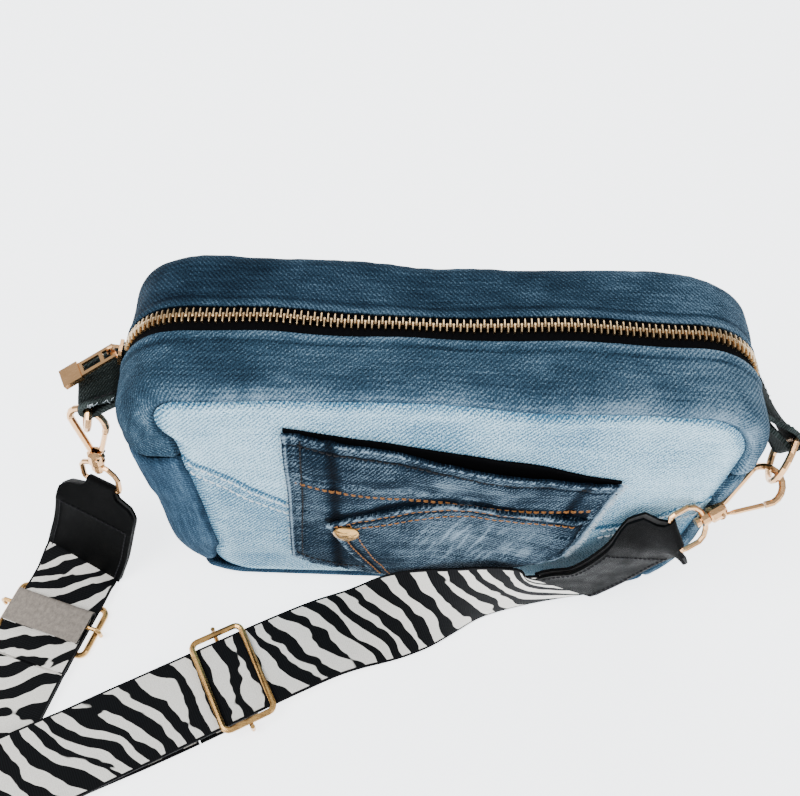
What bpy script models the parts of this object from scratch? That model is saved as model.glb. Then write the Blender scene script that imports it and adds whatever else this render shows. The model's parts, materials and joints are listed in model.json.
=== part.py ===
"""Boxy denim waist pack with a zip over its top, a patch pocket and a clip-on webbing strap.

Frame: origin at the centre of the base, on the surface that the bag stands on. +X is the
wearer's left-to-right width seen from the front, the front faces -Y, and +Z is up.
Every length below is in millimetres; make_object turns it into metres.
"""

import math

import bpy
import numpy as np

# Bag body
BAG_WIDTH = 250.0
BAG_DEPTH = 70.0
BAG_HEIGHT = 152.0
CORNER_RADIUS = 32.0  # outline corner, seen from the front
EDGE_RADIUS = 14.0  # where the gusset rolls over to the front and back
SEAM_LAP = 3.0  # gusset fabric past the roll, up to the seam
FABRIC = 2.0
GAP = 0.3
TAPER = 0.10  # how much narrower the base is than the shoulders
TAPER_TOP = 120.0
BULGE = 3.0  # front and back panels at their middle
ZIP_END_HEIGHT = 107.0

# Zip
ZIP_SLOT = 4.6  # half of the opening between the two gusset halves
TAPE_EDGE = 1.7
TAPE_REACH = 12.0
TAPE = 0.8
CHAIN_WIDTH = 3.2
CHAIN_TOP = -0.6
SLIDER_ANGLE = 12.0  # degrees round the left shoulder, from level

# Front seam between the two front panels, across the width
SEAM_X = (-130.0, -101.0, -75.0, -56.0, 0.0, 65.0, 90.0, 130.0)
SEAM_Z = (118.0, 110.0, 87.0, 71.0, 66.0, 70.0, 76.0, 98.0)

# Patch pocket and coin pocket outlines, as (x, z) on the front
POCKET_TOP = ((-60.0, 130.0), (-1.0, 118.0), (72.0, 107.0))
POCKET_BASE = ((-61.0, 36.0), (-40.0, 19.0), (-13.0, 11.0), (12.0, 17.0), (36.0, 29.0), (58.0, 48.0))
COIN_TOP = ((-45.0, 68.0), (-19.0, 81.0), (11.0, 87.5), (62.0, 83.0))
COIN_BASE = ((-24.0, 17.0), (-12.0, 14.0), (12.0, 20.0), (36.0, 32.0), (56.0, 50.0))
POCKET_CLOTH = 1.5
POCKET_GAPE = 5.0
RIVET = (-36.0, 62.0)
RIVET_RADIUS = 5.5

# D-rings and tabs
RING_WIRE = 1.5
RING_HALF = 13.5
RING_DEPTH = 17.0
TAB_PLY = 2.0
TAB_ROOT_WIDTH = 28.0
TAB_END_WIDTH = 21.4
LOOP_RADIUS = 3.0

# Trigger hook, measured from its pivot block along its own length
HOOK_WIRE = 1.5
NOSE_RADIUS = 8.0
NOSE_HEIGHT = 24.0
HOOK_PLAY = 0.8  # between the nose and the D-ring inside it
GATE_FOOT = (2.2, 2.6)
GATE_END = (7.0, 19.8)
SWIVEL_BAR = -18.0
SWIVEL_HALF = 9.6
SWIVEL_WIRE = 1.2

# Strap
STRAP_WIDTH = 38.0
PLY = 1.2
LEATHER = 4.4
STRAP_STEP = 9.0  # between sections along the webbing
LEATHER_NECK = 14.6
LEATHER_WIDTH = 39.0

# Strap adjuster: a rectangular frame and a staple-shaped bar
FRAME_WIRE = 1.4
FRAME_HALF_LONG = 21.6
FRAME_HALF_SHORT = 11.6
BAR_WIRE = 1.0
BAR_DROP = 5.7

# Heights of the strap's layers at each adjuster, at the middle of each ply
LEFT_FRAME_Z = 1.75
LEFT_LOW_PLY_Z = 4.05
LEFT_TOP_PLY_Z = 5.55
RIGHT_LOW_PLY_Z = 0.95
RIGHT_TOP_PLY_Z = 6.25
RIGHT_FRAME_Z = 8.55

LEFT_ADJUSTER = np.array([-171.0, -60.0, 0.0])
RIGHT_ADJUSTER = np.array([-85.0, -86.5, 0.0])
LEFT_RUN = np.array([-0.297, -0.955, 0.0])  # the way the strap runs there, away from the leather
RIGHT_RUN = np.array([0.883, 0.469, 0.0])  # towards the right leather


# ---------------------------------------------------------------- general helpers


def unit(vector):
    vector = np.asarray(vector, float)
    return vector / np.linalg.norm(vector)


def clear_scene():
    for obj in list(bpy.data.objects):
        bpy.data.objects.remove(obj)


def make_material(name, colour, roughness, metallic=0.0):
    material = bpy.data.materials.new(name)
    material.use_nodes = True
    shader = material.node_tree.nodes["Principled BSDF"]
    shader.inputs["Base Color"].default_value = (*colour, 1.0)
    shader.inputs["Roughness"].default_value = roughness
    shader.inputs["Metallic"].default_value = metallic
    return material


def make_object(name, points, faces, material, origin=(0.0, 0.0, 0.0)):
    """A mesh object in metres whose own origin is at the given place."""
    origin = np.asarray(origin, float)
    mesh = bpy.data.meshes.new(name)
    local = (np.asarray(points, float) - origin) / 1000.0
    mesh.from_pydata([tuple(p) for p in local], [], faces)
    mesh.update()
    mesh.shade_smooth()
    mesh.set_sharp_from_angle(angle=math.radians(40))
    mesh.materials.append(material)
    obj = bpy.data.objects.new(name, mesh)
    obj.location = origin / 1000.0
    bpy.context.scene.collection.objects.link(obj)
    return obj


def facing_out(points, faces):
    """The faces turned round if the body they close is inside out."""
    volume = 0.0
    for face in faces:
        a = points[face[0]]
        for i in range(1, len(face) - 1):
            volume += np.dot(a, np.cross(points[face[i]], points[face[i + 1]]))
    return faces if volume > 0 else [tuple(reversed(face)) for face in faces]


def loft(name, rings, material, closed=False, origin=(0.0, 0.0, 0.0)):
    """A skin over a row of rings with equal counts; an open row gets flat ends."""
    rings = np.asarray(rings, float)
    count, around = rings.shape[:2]
    points = rings.reshape(-1, 3)
    faces = []
    for i in range(count if closed else count - 1):
        a, b = i * around, (i + 1) % count * around
        for j in range(around):
            k = (j + 1) % around
            faces.append((a + j, a + k, b + k, b + j))
    if not closed:
        faces.append(tuple(reversed(range(around))))
        faces.append(tuple(range((count - 1) * around, count * around)))
    return make_object(name, points, facing_out(points, faces), material, origin)


def slab(name, outer, inner, material, origin=(0.0, 0.0, 0.0)):
    """A sheet with thickness: two grids of the same size, joined round their edge."""
    outer = np.asarray(outer, float)
    inner = np.asarray(inner, float)
    rows, columns = outer.shape[:2]
    size = rows * columns
    points = np.concatenate([outer.reshape(-1, 3), inner.reshape(-1, 3)])
    faces = []
    for i in range(rows - 1):
        for j in range(columns - 1):
            a = i * columns + j
            faces.append((a, a + 1, a + columns + 1, a + columns))
            faces.append((size + a, size + a + columns, size + a + columns + 1, size + a + 1))
    rim = [j for j in range(columns)]
    rim += [i * columns + columns - 1 for i in range(1, rows)]
    rim += [(rows - 1) * columns + j for j in range(columns - 2, -1, -1)]
    rim += [i * columns for i in range(rows - 2, 0, -1)]
    for a, b in zip(rim, rim[1:] + rim[:1]):
        faces.append((b, a, size + a, size + b))
    return make_object(name, points, facing_out(points, faces), material, origin)


def frames_along(path, closed=False):
    """Unit tangents of a path, and two normals carried along it without spinning."""
    path = np.asarray(path, float)
    if closed:
        tangents = np.roll(path, -1, axis=0) - np.roll(path, 1, axis=0)
    else:
        tangents = np.gradient(path, axis=0)
    tangents /= np.linalg.norm(tangents, axis=1)[:, None]
    start = np.cross(tangents[0], (0.31, 0.12, 0.94))
    if np.linalg.norm(start) < 0.1:
        start = np.cross(tangents[0], (1.0, 0.0, 0.0))
    first = [unit(start)]
    for tangent in tangents[1:]:
        first.append(unit(first[-1] - np.dot(first[-1], tangent) * tangent))
    first = np.array(first)
    return tangents, first, np.cross(tangents, first)


def wire(name, path, radius, material, sides=8, closed=False, origin=(0.0, 0.0, 0.0)):
    """A round wire; the radius is one number or one for each point."""
    path = np.asarray(path, float)
    _, first, second = frames_along(path, closed)
    radii = np.broadcast_to(radius, len(path))
    angles = np.arange(sides) * 2 * math.pi / sides
    rings = [
        p + r * (np.cos(angles)[:, None] * a + np.sin(angles)[:, None] * b)
        for p, r, a, b in zip(path, radii, first, second)
    ]
    return loft(name, rings, material, closed, origin)


def ribbon(name, path, sides, widths, thickness, material):
    """A flat band along a path; sides are unit vectors across it."""
    path = np.asarray(path, float)
    tangents = np.gradient(path, axis=0)
    widths = np.broadcast_to(widths, len(path))
    thickness = np.broadcast_to(thickness, len(path))
    points = []
    for p, tangent, side, width, thick in zip(path, tangents, sides, widths, thickness):
        normal = unit(np.cross(side, tangent)) * thick / 2
        across = np.asarray(side) * width / 2
        points += [p - across - normal, p + across - normal, p + across + normal, p - across + normal]
    faces = [(3, 2, 1, 0)]
    for a in range(0, 4 * len(path) - 4, 4):
        b = a + 4
        # Both flat sides are split along the same diagonal, so stacked bands stay apart.
        faces += [(a, a + 1, b + 1), (a, b + 1, b), (a + 3, b + 2, a + 2), (a + 3, b + 3, b + 2)]
        faces += [(a + 1, a + 2, b + 2, b + 1), (a + 3, a, b, b + 3)]
    last = 4 * len(path) - 4
    faces.append((last, last + 1, last + 2, last + 3))
    return make_object(name, points, facing_out(points, faces), material)


def combine(obj, other, operation):
    """A Boolean with a helper object, which is then kept out of the model."""
    modifier = obj.modifiers.new(operation.lower(), "BOOLEAN")
    modifier.operation = operation
    modifier.solver = "EXACT"
    modifier.object = other
    other.hide_render = True
    other.display_type = "WIRE"


def smooth_path(points, spacing):
    """A Catmull-Rom curve through rows of numbers, sampled evenly by its length in x, y and z."""
    points = np.asarray(points, float)
    ends = np.vstack([2 * points[0] - points[1], points, 2 * points[-1] - points[-2]])
    fine = []
    for a, b, c, d in zip(ends, ends[1:], ends[2:], ends[3:]):
        for t in np.linspace(0, 1, 24, endpoint=False):
            square = 2 * a - 5 * b + 4 * c - d
            cube = 3 * b - a - 3 * c + d
            fine.append(0.5 * (2 * b + (c - a) * t + square * t**2 + cube * t**3))
    fine.append(points[-1])
    fine = np.array(fine)
    walked = np.concatenate([[0], np.cumsum(np.linalg.norm(np.diff(fine[:, :3], axis=0), axis=1))])
    count = max(2, int(round(walked[-1] / spacing)) + 1)
    at = np.linspace(0, walked[-1], count)
    return np.stack([np.interp(at, walked, fine[:, k]) for k in range(points.shape[1])], axis=1)


def placed(local, centre, across, normal, along):
    """Points given as (across, normal, along) moved to their place."""
    local = np.asarray(local, float)
    return np.asarray(centre) + local @ np.array([across, normal, along])


# ---------------------------------------------------------------- the bag's outer surface

HALF_TOP = BAG_WIDTH / 2 - CORNER_RADIUS
CORNER_ARC = math.pi * CORNER_RADIUS / 2
SIDE_RUN = BAG_HEIGHT - 2 * CORNER_RADIUS
HALF_ROUND = 2 * HALF_TOP + 2 * CORNER_ARC + SIDE_RUN  # top centre to base centre
FLAT_HALF = BAG_DEPTH / 2 - EDGE_RADIUS
ROLL_ARC = math.pi * EDGE_RADIUS / 2
LANE_SEAM = FLAT_HALF + ROLL_ARC + SEAM_LAP
ZIP_REACH = HALF_TOP + CORNER_ARC + BAG_HEIGHT - CORNER_RADIUS - ZIP_END_HEIGHT
BASE_START = HALF_TOP + 1.5 * CORNER_ARC + SIDE_RUN
PANEL_INSET = EDGE_RADIUS + SEAM_LAP + GAP


def tapered(x, z):
    low = np.maximum(0.0, 1.0 - z / TAPER_TOP)
    return x * (1.0 - TAPER * low**1.2)


def bag_point(distance, lane, depth=0.0):
    """A point on the gusset: distance round the outline from the top's middle, positive
    to the right; lane across it from the centre line, positive to the back; depth inwards."""
    reach = abs(lane)
    turn = min(max((reach - FLAT_HALF) / EDGE_RADIUS, 0.0), math.pi / 2)
    past = max(reach - FLAT_HALF - ROLL_ARC, 0.0)
    inset = EDGE_RADIUS * (1 - math.cos(turn)) + past + depth * math.cos(turn)
    y = min(reach, FLAT_HALF) + (EDGE_RADIUS - depth) * math.sin(turn)
    s = abs(distance)
    side = 1.0 if distance >= 0 else -1.0
    if s > HALF_ROUND:
        s = 2 * HALF_ROUND - s
        side = -side
    radius = CORNER_RADIUS - inset
    if s <= HALF_TOP:
        x, z = s, BAG_HEIGHT - inset
    elif s <= HALF_TOP + CORNER_ARC:
        t = (s - HALF_TOP) / CORNER_RADIUS
        x, z = HALF_TOP + radius * math.sin(t), BAG_HEIGHT - CORNER_RADIUS + radius * math.cos(t)
    elif s <= HALF_TOP + CORNER_ARC + SIDE_RUN:
        x, z = BAG_WIDTH / 2 - inset, BAG_HEIGHT - CORNER_RADIUS - (s - HALF_TOP - CORNER_ARC)
    elif s <= HALF_ROUND - HALF_TOP:
        t = (s - HALF_TOP - CORNER_ARC - SIDE_RUN) / CORNER_RADIUS
        x, z = HALF_TOP + radius * math.cos(t), CORNER_RADIUS - radius * math.sin(t)
    else:
        x, z = HALF_ROUND - s, inset
    return np.array([side * tapered(x, z), math.copysign(y, lane), z])


def stations(start, stop):
    """Distances to sample between two places: the corners closely, the straight runs thinly."""
    corners = (HALF_TOP, HALF_TOP + CORNER_ARC + SIDE_RUN)
    marks = {start, stop}
    for corner in corners:
        for k in range(9):
            marks.add(corner + CORNER_ARC * k / 8)
    marks.add(HALF_TOP + CORNER_ARC + SIDE_RUN / 2)
    marks.add(0.0)
    both = {m for m in marks} | {-m for m in marks} | {2 * HALF_ROUND - m for m in marks}
    return sorted(m for m in both if start <= m <= stop)


def lanes_between(start, stop):
    marks = {start, stop}
    for k in range(6):
        marks.add(FLAT_HALF + ROLL_ARC * k / 5)
    both = {m for m in marks} | {-m for m in marks}
    return sorted(m for m in both if start <= m <= stop)


def gusset(name, distances, lanes, material, outside=0.0, thickness=FABRIC):
    outer = [[bag_point(d, lane, outside) for lane in lanes] for d in distances]
    inner = [[bag_point(d, lane, outside + thickness) for lane in lanes] for d in distances]
    return slab(name, outer, inner, material)


def front_y(x, z, proud=0.0):
    """Depth of the front face at a place on it, with the roll at its foot."""
    half_width = BAG_WIDTH / 2 - PANEL_INSET
    half_height = BAG_HEIGHT / 2 - PANEL_INSET
    across = max(0.0, 1 - (x / half_width) ** 2)
    up = max(0.0, 1 - ((z - BAG_HEIGHT / 2) / half_height) ** 2)
    low = max(0.0, EDGE_RADIUS - z)
    roll = EDGE_RADIUS - math.sqrt(EDGE_RADIUS**2 - low**2)
    return -(BAG_DEPTH / 2 + BULGE * across * up - roll) - proud


def panel_columns():
    """Widths of the panel's columns, close together in its rounded corners."""
    radius = CORNER_RADIUS - PANEL_INSET
    right = [HALF_TOP * k / 3 for k in range(3)]
    right += [HALF_TOP + radius * math.sin(math.pi / 2 * k / 4) for k in range(5)]
    return sorted({-x for x in right} | set(right))


def panel_edge(x):
    """How far the panel's top and bottom edges stand in from straight, at a column."""
    radius = CORNER_RADIUS - PANEL_INSET
    past = max(0.0, abs(x) - HALF_TOP)
    return PANEL_INSET + radius - math.sqrt(max(radius**2 - past**2, 0.0))


def panel(name, side, low, high, material, rows=6):
    """A front (side -1) or back (side 1) panel between two height functions of x."""
    outer = []
    inner = []
    for x in panel_columns():
        heights = np.linspace(low(x), high(x), rows)
        outer.append([(tapered(x, z), -side * front_y(x, z), z) for z in heights])
        inner.append([(tapered(x, z), -side * (front_y(x, z) + FABRIC), z) for z in heights])
    return slab(name, outer, inner, material)


def patch(name, top, base, proud, thickness, material, gape=0.0, columns=11, rows=8):
    """A patch on the front between a top and a bottom line; gape lifts its top edge's middle."""
    top = np.array(top)
    base = np.array(base)
    outer = []
    inner = []
    for u in np.linspace(0, 1, columns):
        a = [np.interp(u, np.linspace(0, 1, len(top)), top[:, k]) for k in (0, 1)]
        b = [np.interp(u, np.linspace(0, 1, len(base)), base[:, k]) for k in (0, 1)]
        outer.append([])
        inner.append([])
        for v in np.linspace(0, 1, rows):
            x, z = (b[k] + (a[k] - b[k]) * v for k in (0, 1))
            lift = gape * math.sin(math.pi * u) * max(0.0, (v - 0.75) / 0.25) ** 2
            y = front_y(x, z, proud + lift)
            outer[-1].append((x, y - thickness, z))
            inner[-1].append((x, y, z))
    return slab(name, outer, inner, material)


def lining(material):
    """An open-topped cup just inside the panels."""
    skin = 1.0
    clear = FABRIC + 1.5
    rings = []
    inside = (clear + skin, (138.0, 34.0, 20.0, 10.0, clear + skin))
    for inwards, heights in ((clear, (clear, 10.0, 20.0, 34.0, 138.0)), inside):
        for z in heights:
            up = max(CORNER_RADIUS - z, z - BAG_HEIGHT + CORNER_RADIUS, 0.0)
            corner = CORNER_RADIUS - inwards
            half = HALF_TOP + math.sqrt(max(corner**2 - up**2, 0.0))
            low = max(0.0, EDGE_RADIUS - z, z - BAG_HEIGHT + EDGE_RADIUS)
            edge = EDGE_RADIUS - inwards
            deep = FLAT_HALF + math.sqrt(max(edge**2 - low**2, 0.0))
            round_off = min(edge, deep, half) * 0.98
            ring = []
            for k in range(24):
                t = 2 * math.pi * (k + 0.5) / 24
                x = math.copysign(half - round_off, math.cos(t)) + round_off * math.cos(t)
                y = math.copysign(deep - round_off, math.sin(t)) + round_off * math.sin(t)
                ring.append((tapered(x, z), y, z))
            rings.append(ring)
    loft("lining", rings, material)


def build_bag(paint):
    seam_height = lambda x: np.interp(x, SEAM_X, SEAM_Z)
    panel_top = lambda x: BAG_HEIGHT - panel_edge(x)
    panel("front_panel_upper", -1, lambda x: seam_height(x) + GAP / 2, panel_top, paint["light_denim"])
    panel("front_panel_lower", -1, panel_edge, lambda x: seam_height(x) - GAP / 2, paint["light_denim"])
    panel("back_panel", 1, panel_edge, panel_top, paint["mid_denim"], rows=9)

    over = stations(-ZIP_REACH, ZIP_REACH)
    gusset("zip_gusset_front", over, lanes_between(-LANE_SEAM, -ZIP_SLOT), paint["mid_denim"])
    gusset("zip_gusset_back", over, lanes_between(ZIP_SLOT, LANE_SEAM), paint["dark_denim"])
    down = stations(ZIP_REACH + GAP, BASE_START - GAP)
    across = lanes_between(-LANE_SEAM, LANE_SEAM)
    gusset("right_side_gusset", down, across, paint["light_denim"])
    gusset("left_side_gusset", sorted(-d for d in down), across, paint["mid_denim"])
    under = stations(BASE_START, 2 * HALF_ROUND - BASE_START)
    gusset("base_gusset", under, across, paint["dark_denim"])

    taped = stations(-ZIP_REACH + 1, ZIP_REACH - 1)
    beneath = FABRIC + 0.4
    gusset("zip_tape_front", taped, [-TAPE_REACH, -TAPE_EDGE], paint["tape"], beneath, TAPE)
    gusset("zip_tape_back", taped, [TAPE_EDGE, TAPE_REACH], paint["tape"], beneath, TAPE)
    chain_start = -HALF_TOP - CORNER_RADIUS * math.radians(90 - SLIDER_ANGLE) + 5
    chained = stations(chain_start, HALF_TOP + CORNER_ARC - 2)
    deep = FABRIC - CHAIN_TOP
    gusset("zip_teeth_front", chained, [-CHAIN_WIDTH, -GAP / 2], paint["brass"], CHAIN_TOP, deep)
    gusset("zip_teeth_back", chained, [GAP / 2, CHAIN_WIDTH], paint["brass"], CHAIN_TOP, deep)
    lining(paint["lining"])


def build_pocket(paint):
    off = 0.8
    patch("pocket_panel", POCKET_TOP, POCKET_BASE, off, POCKET_CLOTH, paint["dark_denim"], gape=POCKET_GAPE)
    over = off + POCKET_CLOTH + GAP
    patch("coin_pocket", COIN_TOP, COIN_BASE, over, POCKET_CLOTH, paint["dark_denim"], columns=8, rows=6)
    x, z = RIVET
    proud = over + POCKET_CLOTH + GAP + 0.4
    centre = np.array([x, front_y(x, z, proud), z])
    heights = (0.0, 0.8, 1.5)
    radii = (RIVET_RADIUS, RIVET_RADIUS, RIVET_RADIUS * 0.6)
    rings = []
    for height, radius in zip(heights, radii):
        turn = np.arange(16) * math.pi / 8
        rings.append([centre + (radius * math.cos(t), -height, radius * math.sin(t)) for t in turn])
    loft("pocket_rivet", rings, paint["old_brass"])


# ---------------------------------------------------------------- zip slider and its pull


def build_zip_slider(paint):
    """Left shoulder's centre is the axis that the slider runs round."""
    turn = math.radians(SLIDER_ANGLE)
    hub = np.array([-HALF_TOP, 0.0, BAG_HEIGHT - CORNER_RADIUS])
    outward = np.array([-math.cos(turn), 0.0, math.sin(turn)])
    uphill = np.array([math.sin(turn), 0.0, math.cos(turn)])
    across = np.array([0.0, 1.0, 0.0])
    lift = CORNER_RADIUS - CHAIN_TOP + 0.4
    plate_outline = ((-4.5, 2.6), (-3.0, 3.9), (3.0, 3.9), (4.5, 3.0))
    outline = [(u, v) for u, v in plate_outline] + [(u, -v) for u, v in reversed(plate_outline)]
    rings = [
        [hub + (lift + h) * outward + u * uphill + v * across for u, v in outline] for h in (0.0, 1.3)
    ]
    plate = loft("zip_slider", rings, paint["gold"], origin=hub)
    legs = [(-3.4, 0.8), (-3.2, 4.0), (-1.8, 5.4), (1.8, 5.4), (3.2, 4.0), (3.4, 0.8)]
    arch = [hub + (lift + h) * outward + u * uphill for u, h in legs]
    combine(plate, wire("slider_arch", arch, 0.8, paint["gold"], sides=6, origin=hub), "UNION")
    build_zip_pull(paint, hub + (lift + 3.6) * outward)


def build_zip_pull(paint, hinge):
    """A flat pull with two windows and a solid end, hung from its cross bar."""
    along = unit((-0.84, -0.42, -0.33))
    across = unit((-0.447, 0.894, 0.0))
    normal = np.cross(across, along)

    def block(name, u0, u1, v0, v1, thick):
        corners = ((u0, v0), (u1, v0), (u1, v1), (u0, v1))
        halves = (-thick / 2, thick / 2)
        rings = [[hinge + u * along + v * across + h * normal for u, v in corners] for h in halves]
        return loft(name, rings, paint["gold"], origin=hinge)

    pull = block("zip_pull", -0.6, 17.0, -3.3, 3.3, 1.2)
    combine(pull, block("pull_short_window", 0.7, 4.4, -2.0, 2.0, 3.0), "DIFFERENCE")
    combine(pull, block("pull_long_window", 6.0, 13.5, -1.9, 1.9, 3.0), "DIFFERENCE")
    combine(pull, block("pull_end", 15.0, 23.0, -4.2, 4.2, 2.4), "UNION")


# ---------------------------------------------------------------- tabs, D-rings and hooks

SIDES = {
    "left": {
        "root": (-126.6, -3.0, 117.5),
        "root_side": (0.0, -1.0, 0.0),
        "bar": (-140.0, -9.0, 113.0),
        "bar_side": (0.2, -0.98, 0.0),
        "swing": (-0.25, -0.05, -0.96),
        "hook_axis": (0.05, 0.13, 0.99),
        "hook_across": (0.96, -0.25, 0.0),
        "swivel_across": (0.9, -0.43, 0.0),
    },
    "right": {
        "root": (126.8, 0.0, 118.0),
        "root_side": (0.0, -1.0, 0.0),
        "bar": (144.4, -12.0, 98.4),
        "bar_side": (-0.1, -0.5, 0.86),
        "swing": (-0.34, -0.79, -0.5),
        "hook_axis": (0.86, 0.44, 0.255),
        "hook_across": (0.5, -0.73, -0.42),
        "swivel_across": (-0.8, 0.1, 0.6),
    },
}


def square_to(vector, axis):
    """The part of a vector that is square to an axis, as a unit vector."""
    axis = unit(axis)
    vector = np.asarray(vector, float)
    return unit(vector - np.dot(vector, axis) * axis)


def ring_frame(spec):
    bar = np.array(spec["bar"])
    side = unit(spec["bar_side"])
    swing = square_to(spec["swing"], side)
    return bar, side, swing


def hook_frame(spec):
    """The hook's pivot block, and its own across, normal and length directions."""
    bar, _, swing = ring_frame(spec)
    along = unit(spec["hook_axis"])
    across = square_to(spec["hook_across"], along)
    wire_crossing = NOSE_HEIGHT + NOSE_RADIUS - HOOK_WIRE - RING_WIRE - HOOK_PLAY
    centre = bar + RING_DEPTH * swing - wire_crossing * along
    return centre, across, np.cross(along, across), along


def build_tab(name, spec, material):
    """A folded band sewn to the side, with the D-ring's bar inside its fold."""
    root = np.array(spec["root"])
    bar, bar_side, _ = ring_frame(spec)
    root_side = np.array(spec["root_side"])
    travel = unit(bar - root)
    root_up = unit(np.cross(travel, root_side)) * math.copysign(1.0, np.cross(travel, root_side)[2])
    bar_up = unit(np.cross(travel, bar_side))
    bar_up *= math.copysign(1.0, np.dot(bar_up, root_up))
    ahead = unit(np.cross(bar_side, bar_up))
    ahead *= math.copysign(1.0, np.dot(ahead, travel))
    path = []
    sides = []
    widths = []
    for t in np.linspace(0, 0.85, 5):
        path.append(root + (bar - root) * t + unit(root_up * (1 - t) + bar_up * t) * (1.3 + 1.7 * t))
        sides.append(unit(root_side * (1 - t) + bar_side * t))
        widths.append(TAB_ROOT_WIDTH + (TAB_END_WIDTH - TAB_ROOT_WIDTH) * t)
    for angle in np.linspace(75, -75, 9):
        t = math.radians(angle)
        path.append(bar + LOOP_RADIUS * (math.sin(t) * bar_up + math.cos(t) * ahead))
        sides.append(bar_side)
        widths.append(TAB_END_WIDTH)
    for t in np.linspace(0.85, 0, 5):
        path.append(root + (bar - root) * t - unit(root_up * (1 - t) + bar_up * t) * (1.3 + 1.7 * t))
        sides.append(unit(root_side * (1 - t) + bar_side * t))
        widths.append(TAB_ROOT_WIDTH + (TAB_END_WIDTH - TAB_ROOT_WIDTH) * t)
    ribbon(name, path, sides, widths, TAB_PLY, material)


def build_d_ring(name, spec, material):
    bar, side, swing = ring_frame(spec)
    path = [(u, 0.0) for u in np.linspace(-RING_HALF + 2, RING_HALF - 2, 5)]
    path.append((RING_HALF - 0.5, 0.7))
    for angle in np.linspace(10, 170, 13):
        t = math.radians(angle)
        path.append((RING_HALF * math.cos(t), 3 + (RING_DEPTH - 3) * math.sin(t)))
    path.append((-RING_HALF + 0.5, 0.7))
    points = [bar + u * side + v * swing for u, v in path]
    wire(name, points, RING_WIRE, material, closed=True, origin=bar)


def turned(name, centre, axis, spans, material, sides=12, origin=(0.0, 0.0, 0.0)):
    """A stepped round solid from (height, radius) pairs along an axis."""
    axis = unit(axis)
    first = unit(np.cross(axis, (0.3, 0.5, 0.8)))
    second = np.cross(axis, first)
    angles = np.arange(sides) * 2 * math.pi / sides
    rings = [
        [centre + height * axis + radius * (math.cos(t) * first + math.sin(t) * second) for t in angles]
        for height, radius in spans
    ]
    return loft(name, rings, material, origin=origin)


def build_hook(side_name, spec, material):
    centre, across, normal, along = hook_frame(spec)
    place = lambda rows: placed(rows, centre, across, normal, along)

    # One wire: up the back arm, round the nose, and down to where the gate meets it.
    rows = [(0.0, 0.0, 1.5), (-1.2, 0.0, 4.0), (-4.6, 0.0, 14.0), (-NOSE_RADIUS, 0.0, NOSE_HEIGHT)]
    for angle in np.linspace(165, 0, 10):
        t = math.radians(angle)
        rows.append((NOSE_RADIUS * math.cos(t), 0.0, NOSE_HEIGHT + NOSE_RADIUS * math.sin(t)))
    rows.append((7.2, 0.0, 20.6))
    body = wire(f"{side_name}_hook_body", place(rows), HOOK_WIRE, material, origin=centre)
    block_spans = ((-2.4, 2.6), (-1.6, 3.6), (4.0, 3.6), (5.4, 2.2))
    block = turned("hook_block", centre, along, block_spans, material, 10)
    combine(body, block, "UNION")
    post_spans = ((-8.4, 2.0), (-6.4, 2.0), (-6.3, 1.3), (0.0, 1.3))
    post = turned("hook_post", centre, along, post_spans, material, 10)
    combine(body, post, "UNION")

    # A slot for the gate's foot, and the pin's bore across it.
    foot = place([(GATE_FOOT[0], 0.0, GATE_FOOT[1])])[0]
    corners = ((-1.0, -0.7), (7.0, -0.7), (7.0, 7.0), (-1.0, 7.0))
    slot = loft("hook_slot", [place([(x, h, z) for x, z in corners]) for h in (-1.1, 1.1)], material)
    combine(body, slot, "DIFFERENCE")
    bore = turned("hook_bore", foot, normal, ((-6.0, 0.75), (6.0, 0.75)), material, 8)
    combine(body, bore, "DIFFERENCE")
    turned(f"{side_name}_hook_pin", foot, normal, ((-3.4, 0.7), (3.4, 0.7)), material, 8, origin=foot)
    build_gate(side_name, place, foot, normal, material)
    return centre


def build_gate(side_name, place, foot, normal, material):
    start = np.array([GATE_FOOT[0], 0.0, GATE_FOOT[1]])
    end = np.array([GATE_END[0], 0.0, GATE_END[1]])
    rod = [start + (end - start) * t for t in (0.02, 0.2, 0.3, 1.0)]
    gate = wire(f"{side_name}_hook_gate", place(rod), (0.75, 0.75, 1.15, 1.15), material, 8, origin=foot)
    eye = turned("gate_eye", foot, normal, ((-0.8, 1.9), (0.8, 1.9)), material, 10)
    combine(gate, eye, "UNION")
    hole = turned("gate_hole", foot, normal, ((-3.0, 1.05), (3.0, 1.05)), material, 8)
    combine(gate, hole, "DIFFERENCE")


def swivel_frame(spec):
    centre, _, _, along = hook_frame(spec)
    across = square_to(spec["swivel_across"], along)
    return centre, across, np.cross(along, across), along


def build_swivel(side_name, spec, material):
    centre, across, normal, along = swivel_frame(spec)
    half = SWIVEL_HALF
    low = SWIVEL_BAR
    right = [(0.0, low), (half - 2, low), (half - 0.4, low + 0.6), (half, low + 2.4), (half, -9.5)]
    right += [(half - 1.6, -6.8), (5.0, -5.0), (2.2, -4.4)]
    outline = right + [(-x, z) for x, z in reversed(right[1:])]
    rows = [(x, 0.0, z) for x, z in outline]
    points = placed(rows, centre, across, normal, along)
    ring = wire(f"{side_name}_swivel_ring", points, SWIVEL_WIRE, material, closed=True)
    eye = turned("swivel_eye", centre, along, ((-5.9, 2.9), (-2.8, 2.9)), material, 10)
    combine(ring, eye, "UNION")
    bore = turned("swivel_bore", centre, along, ((-8.0, 1.7), (-1.0, 1.7)), material, 10)
    combine(ring, bore, "DIFFERENCE")


# ---------------------------------------------------------------- strap

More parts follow.
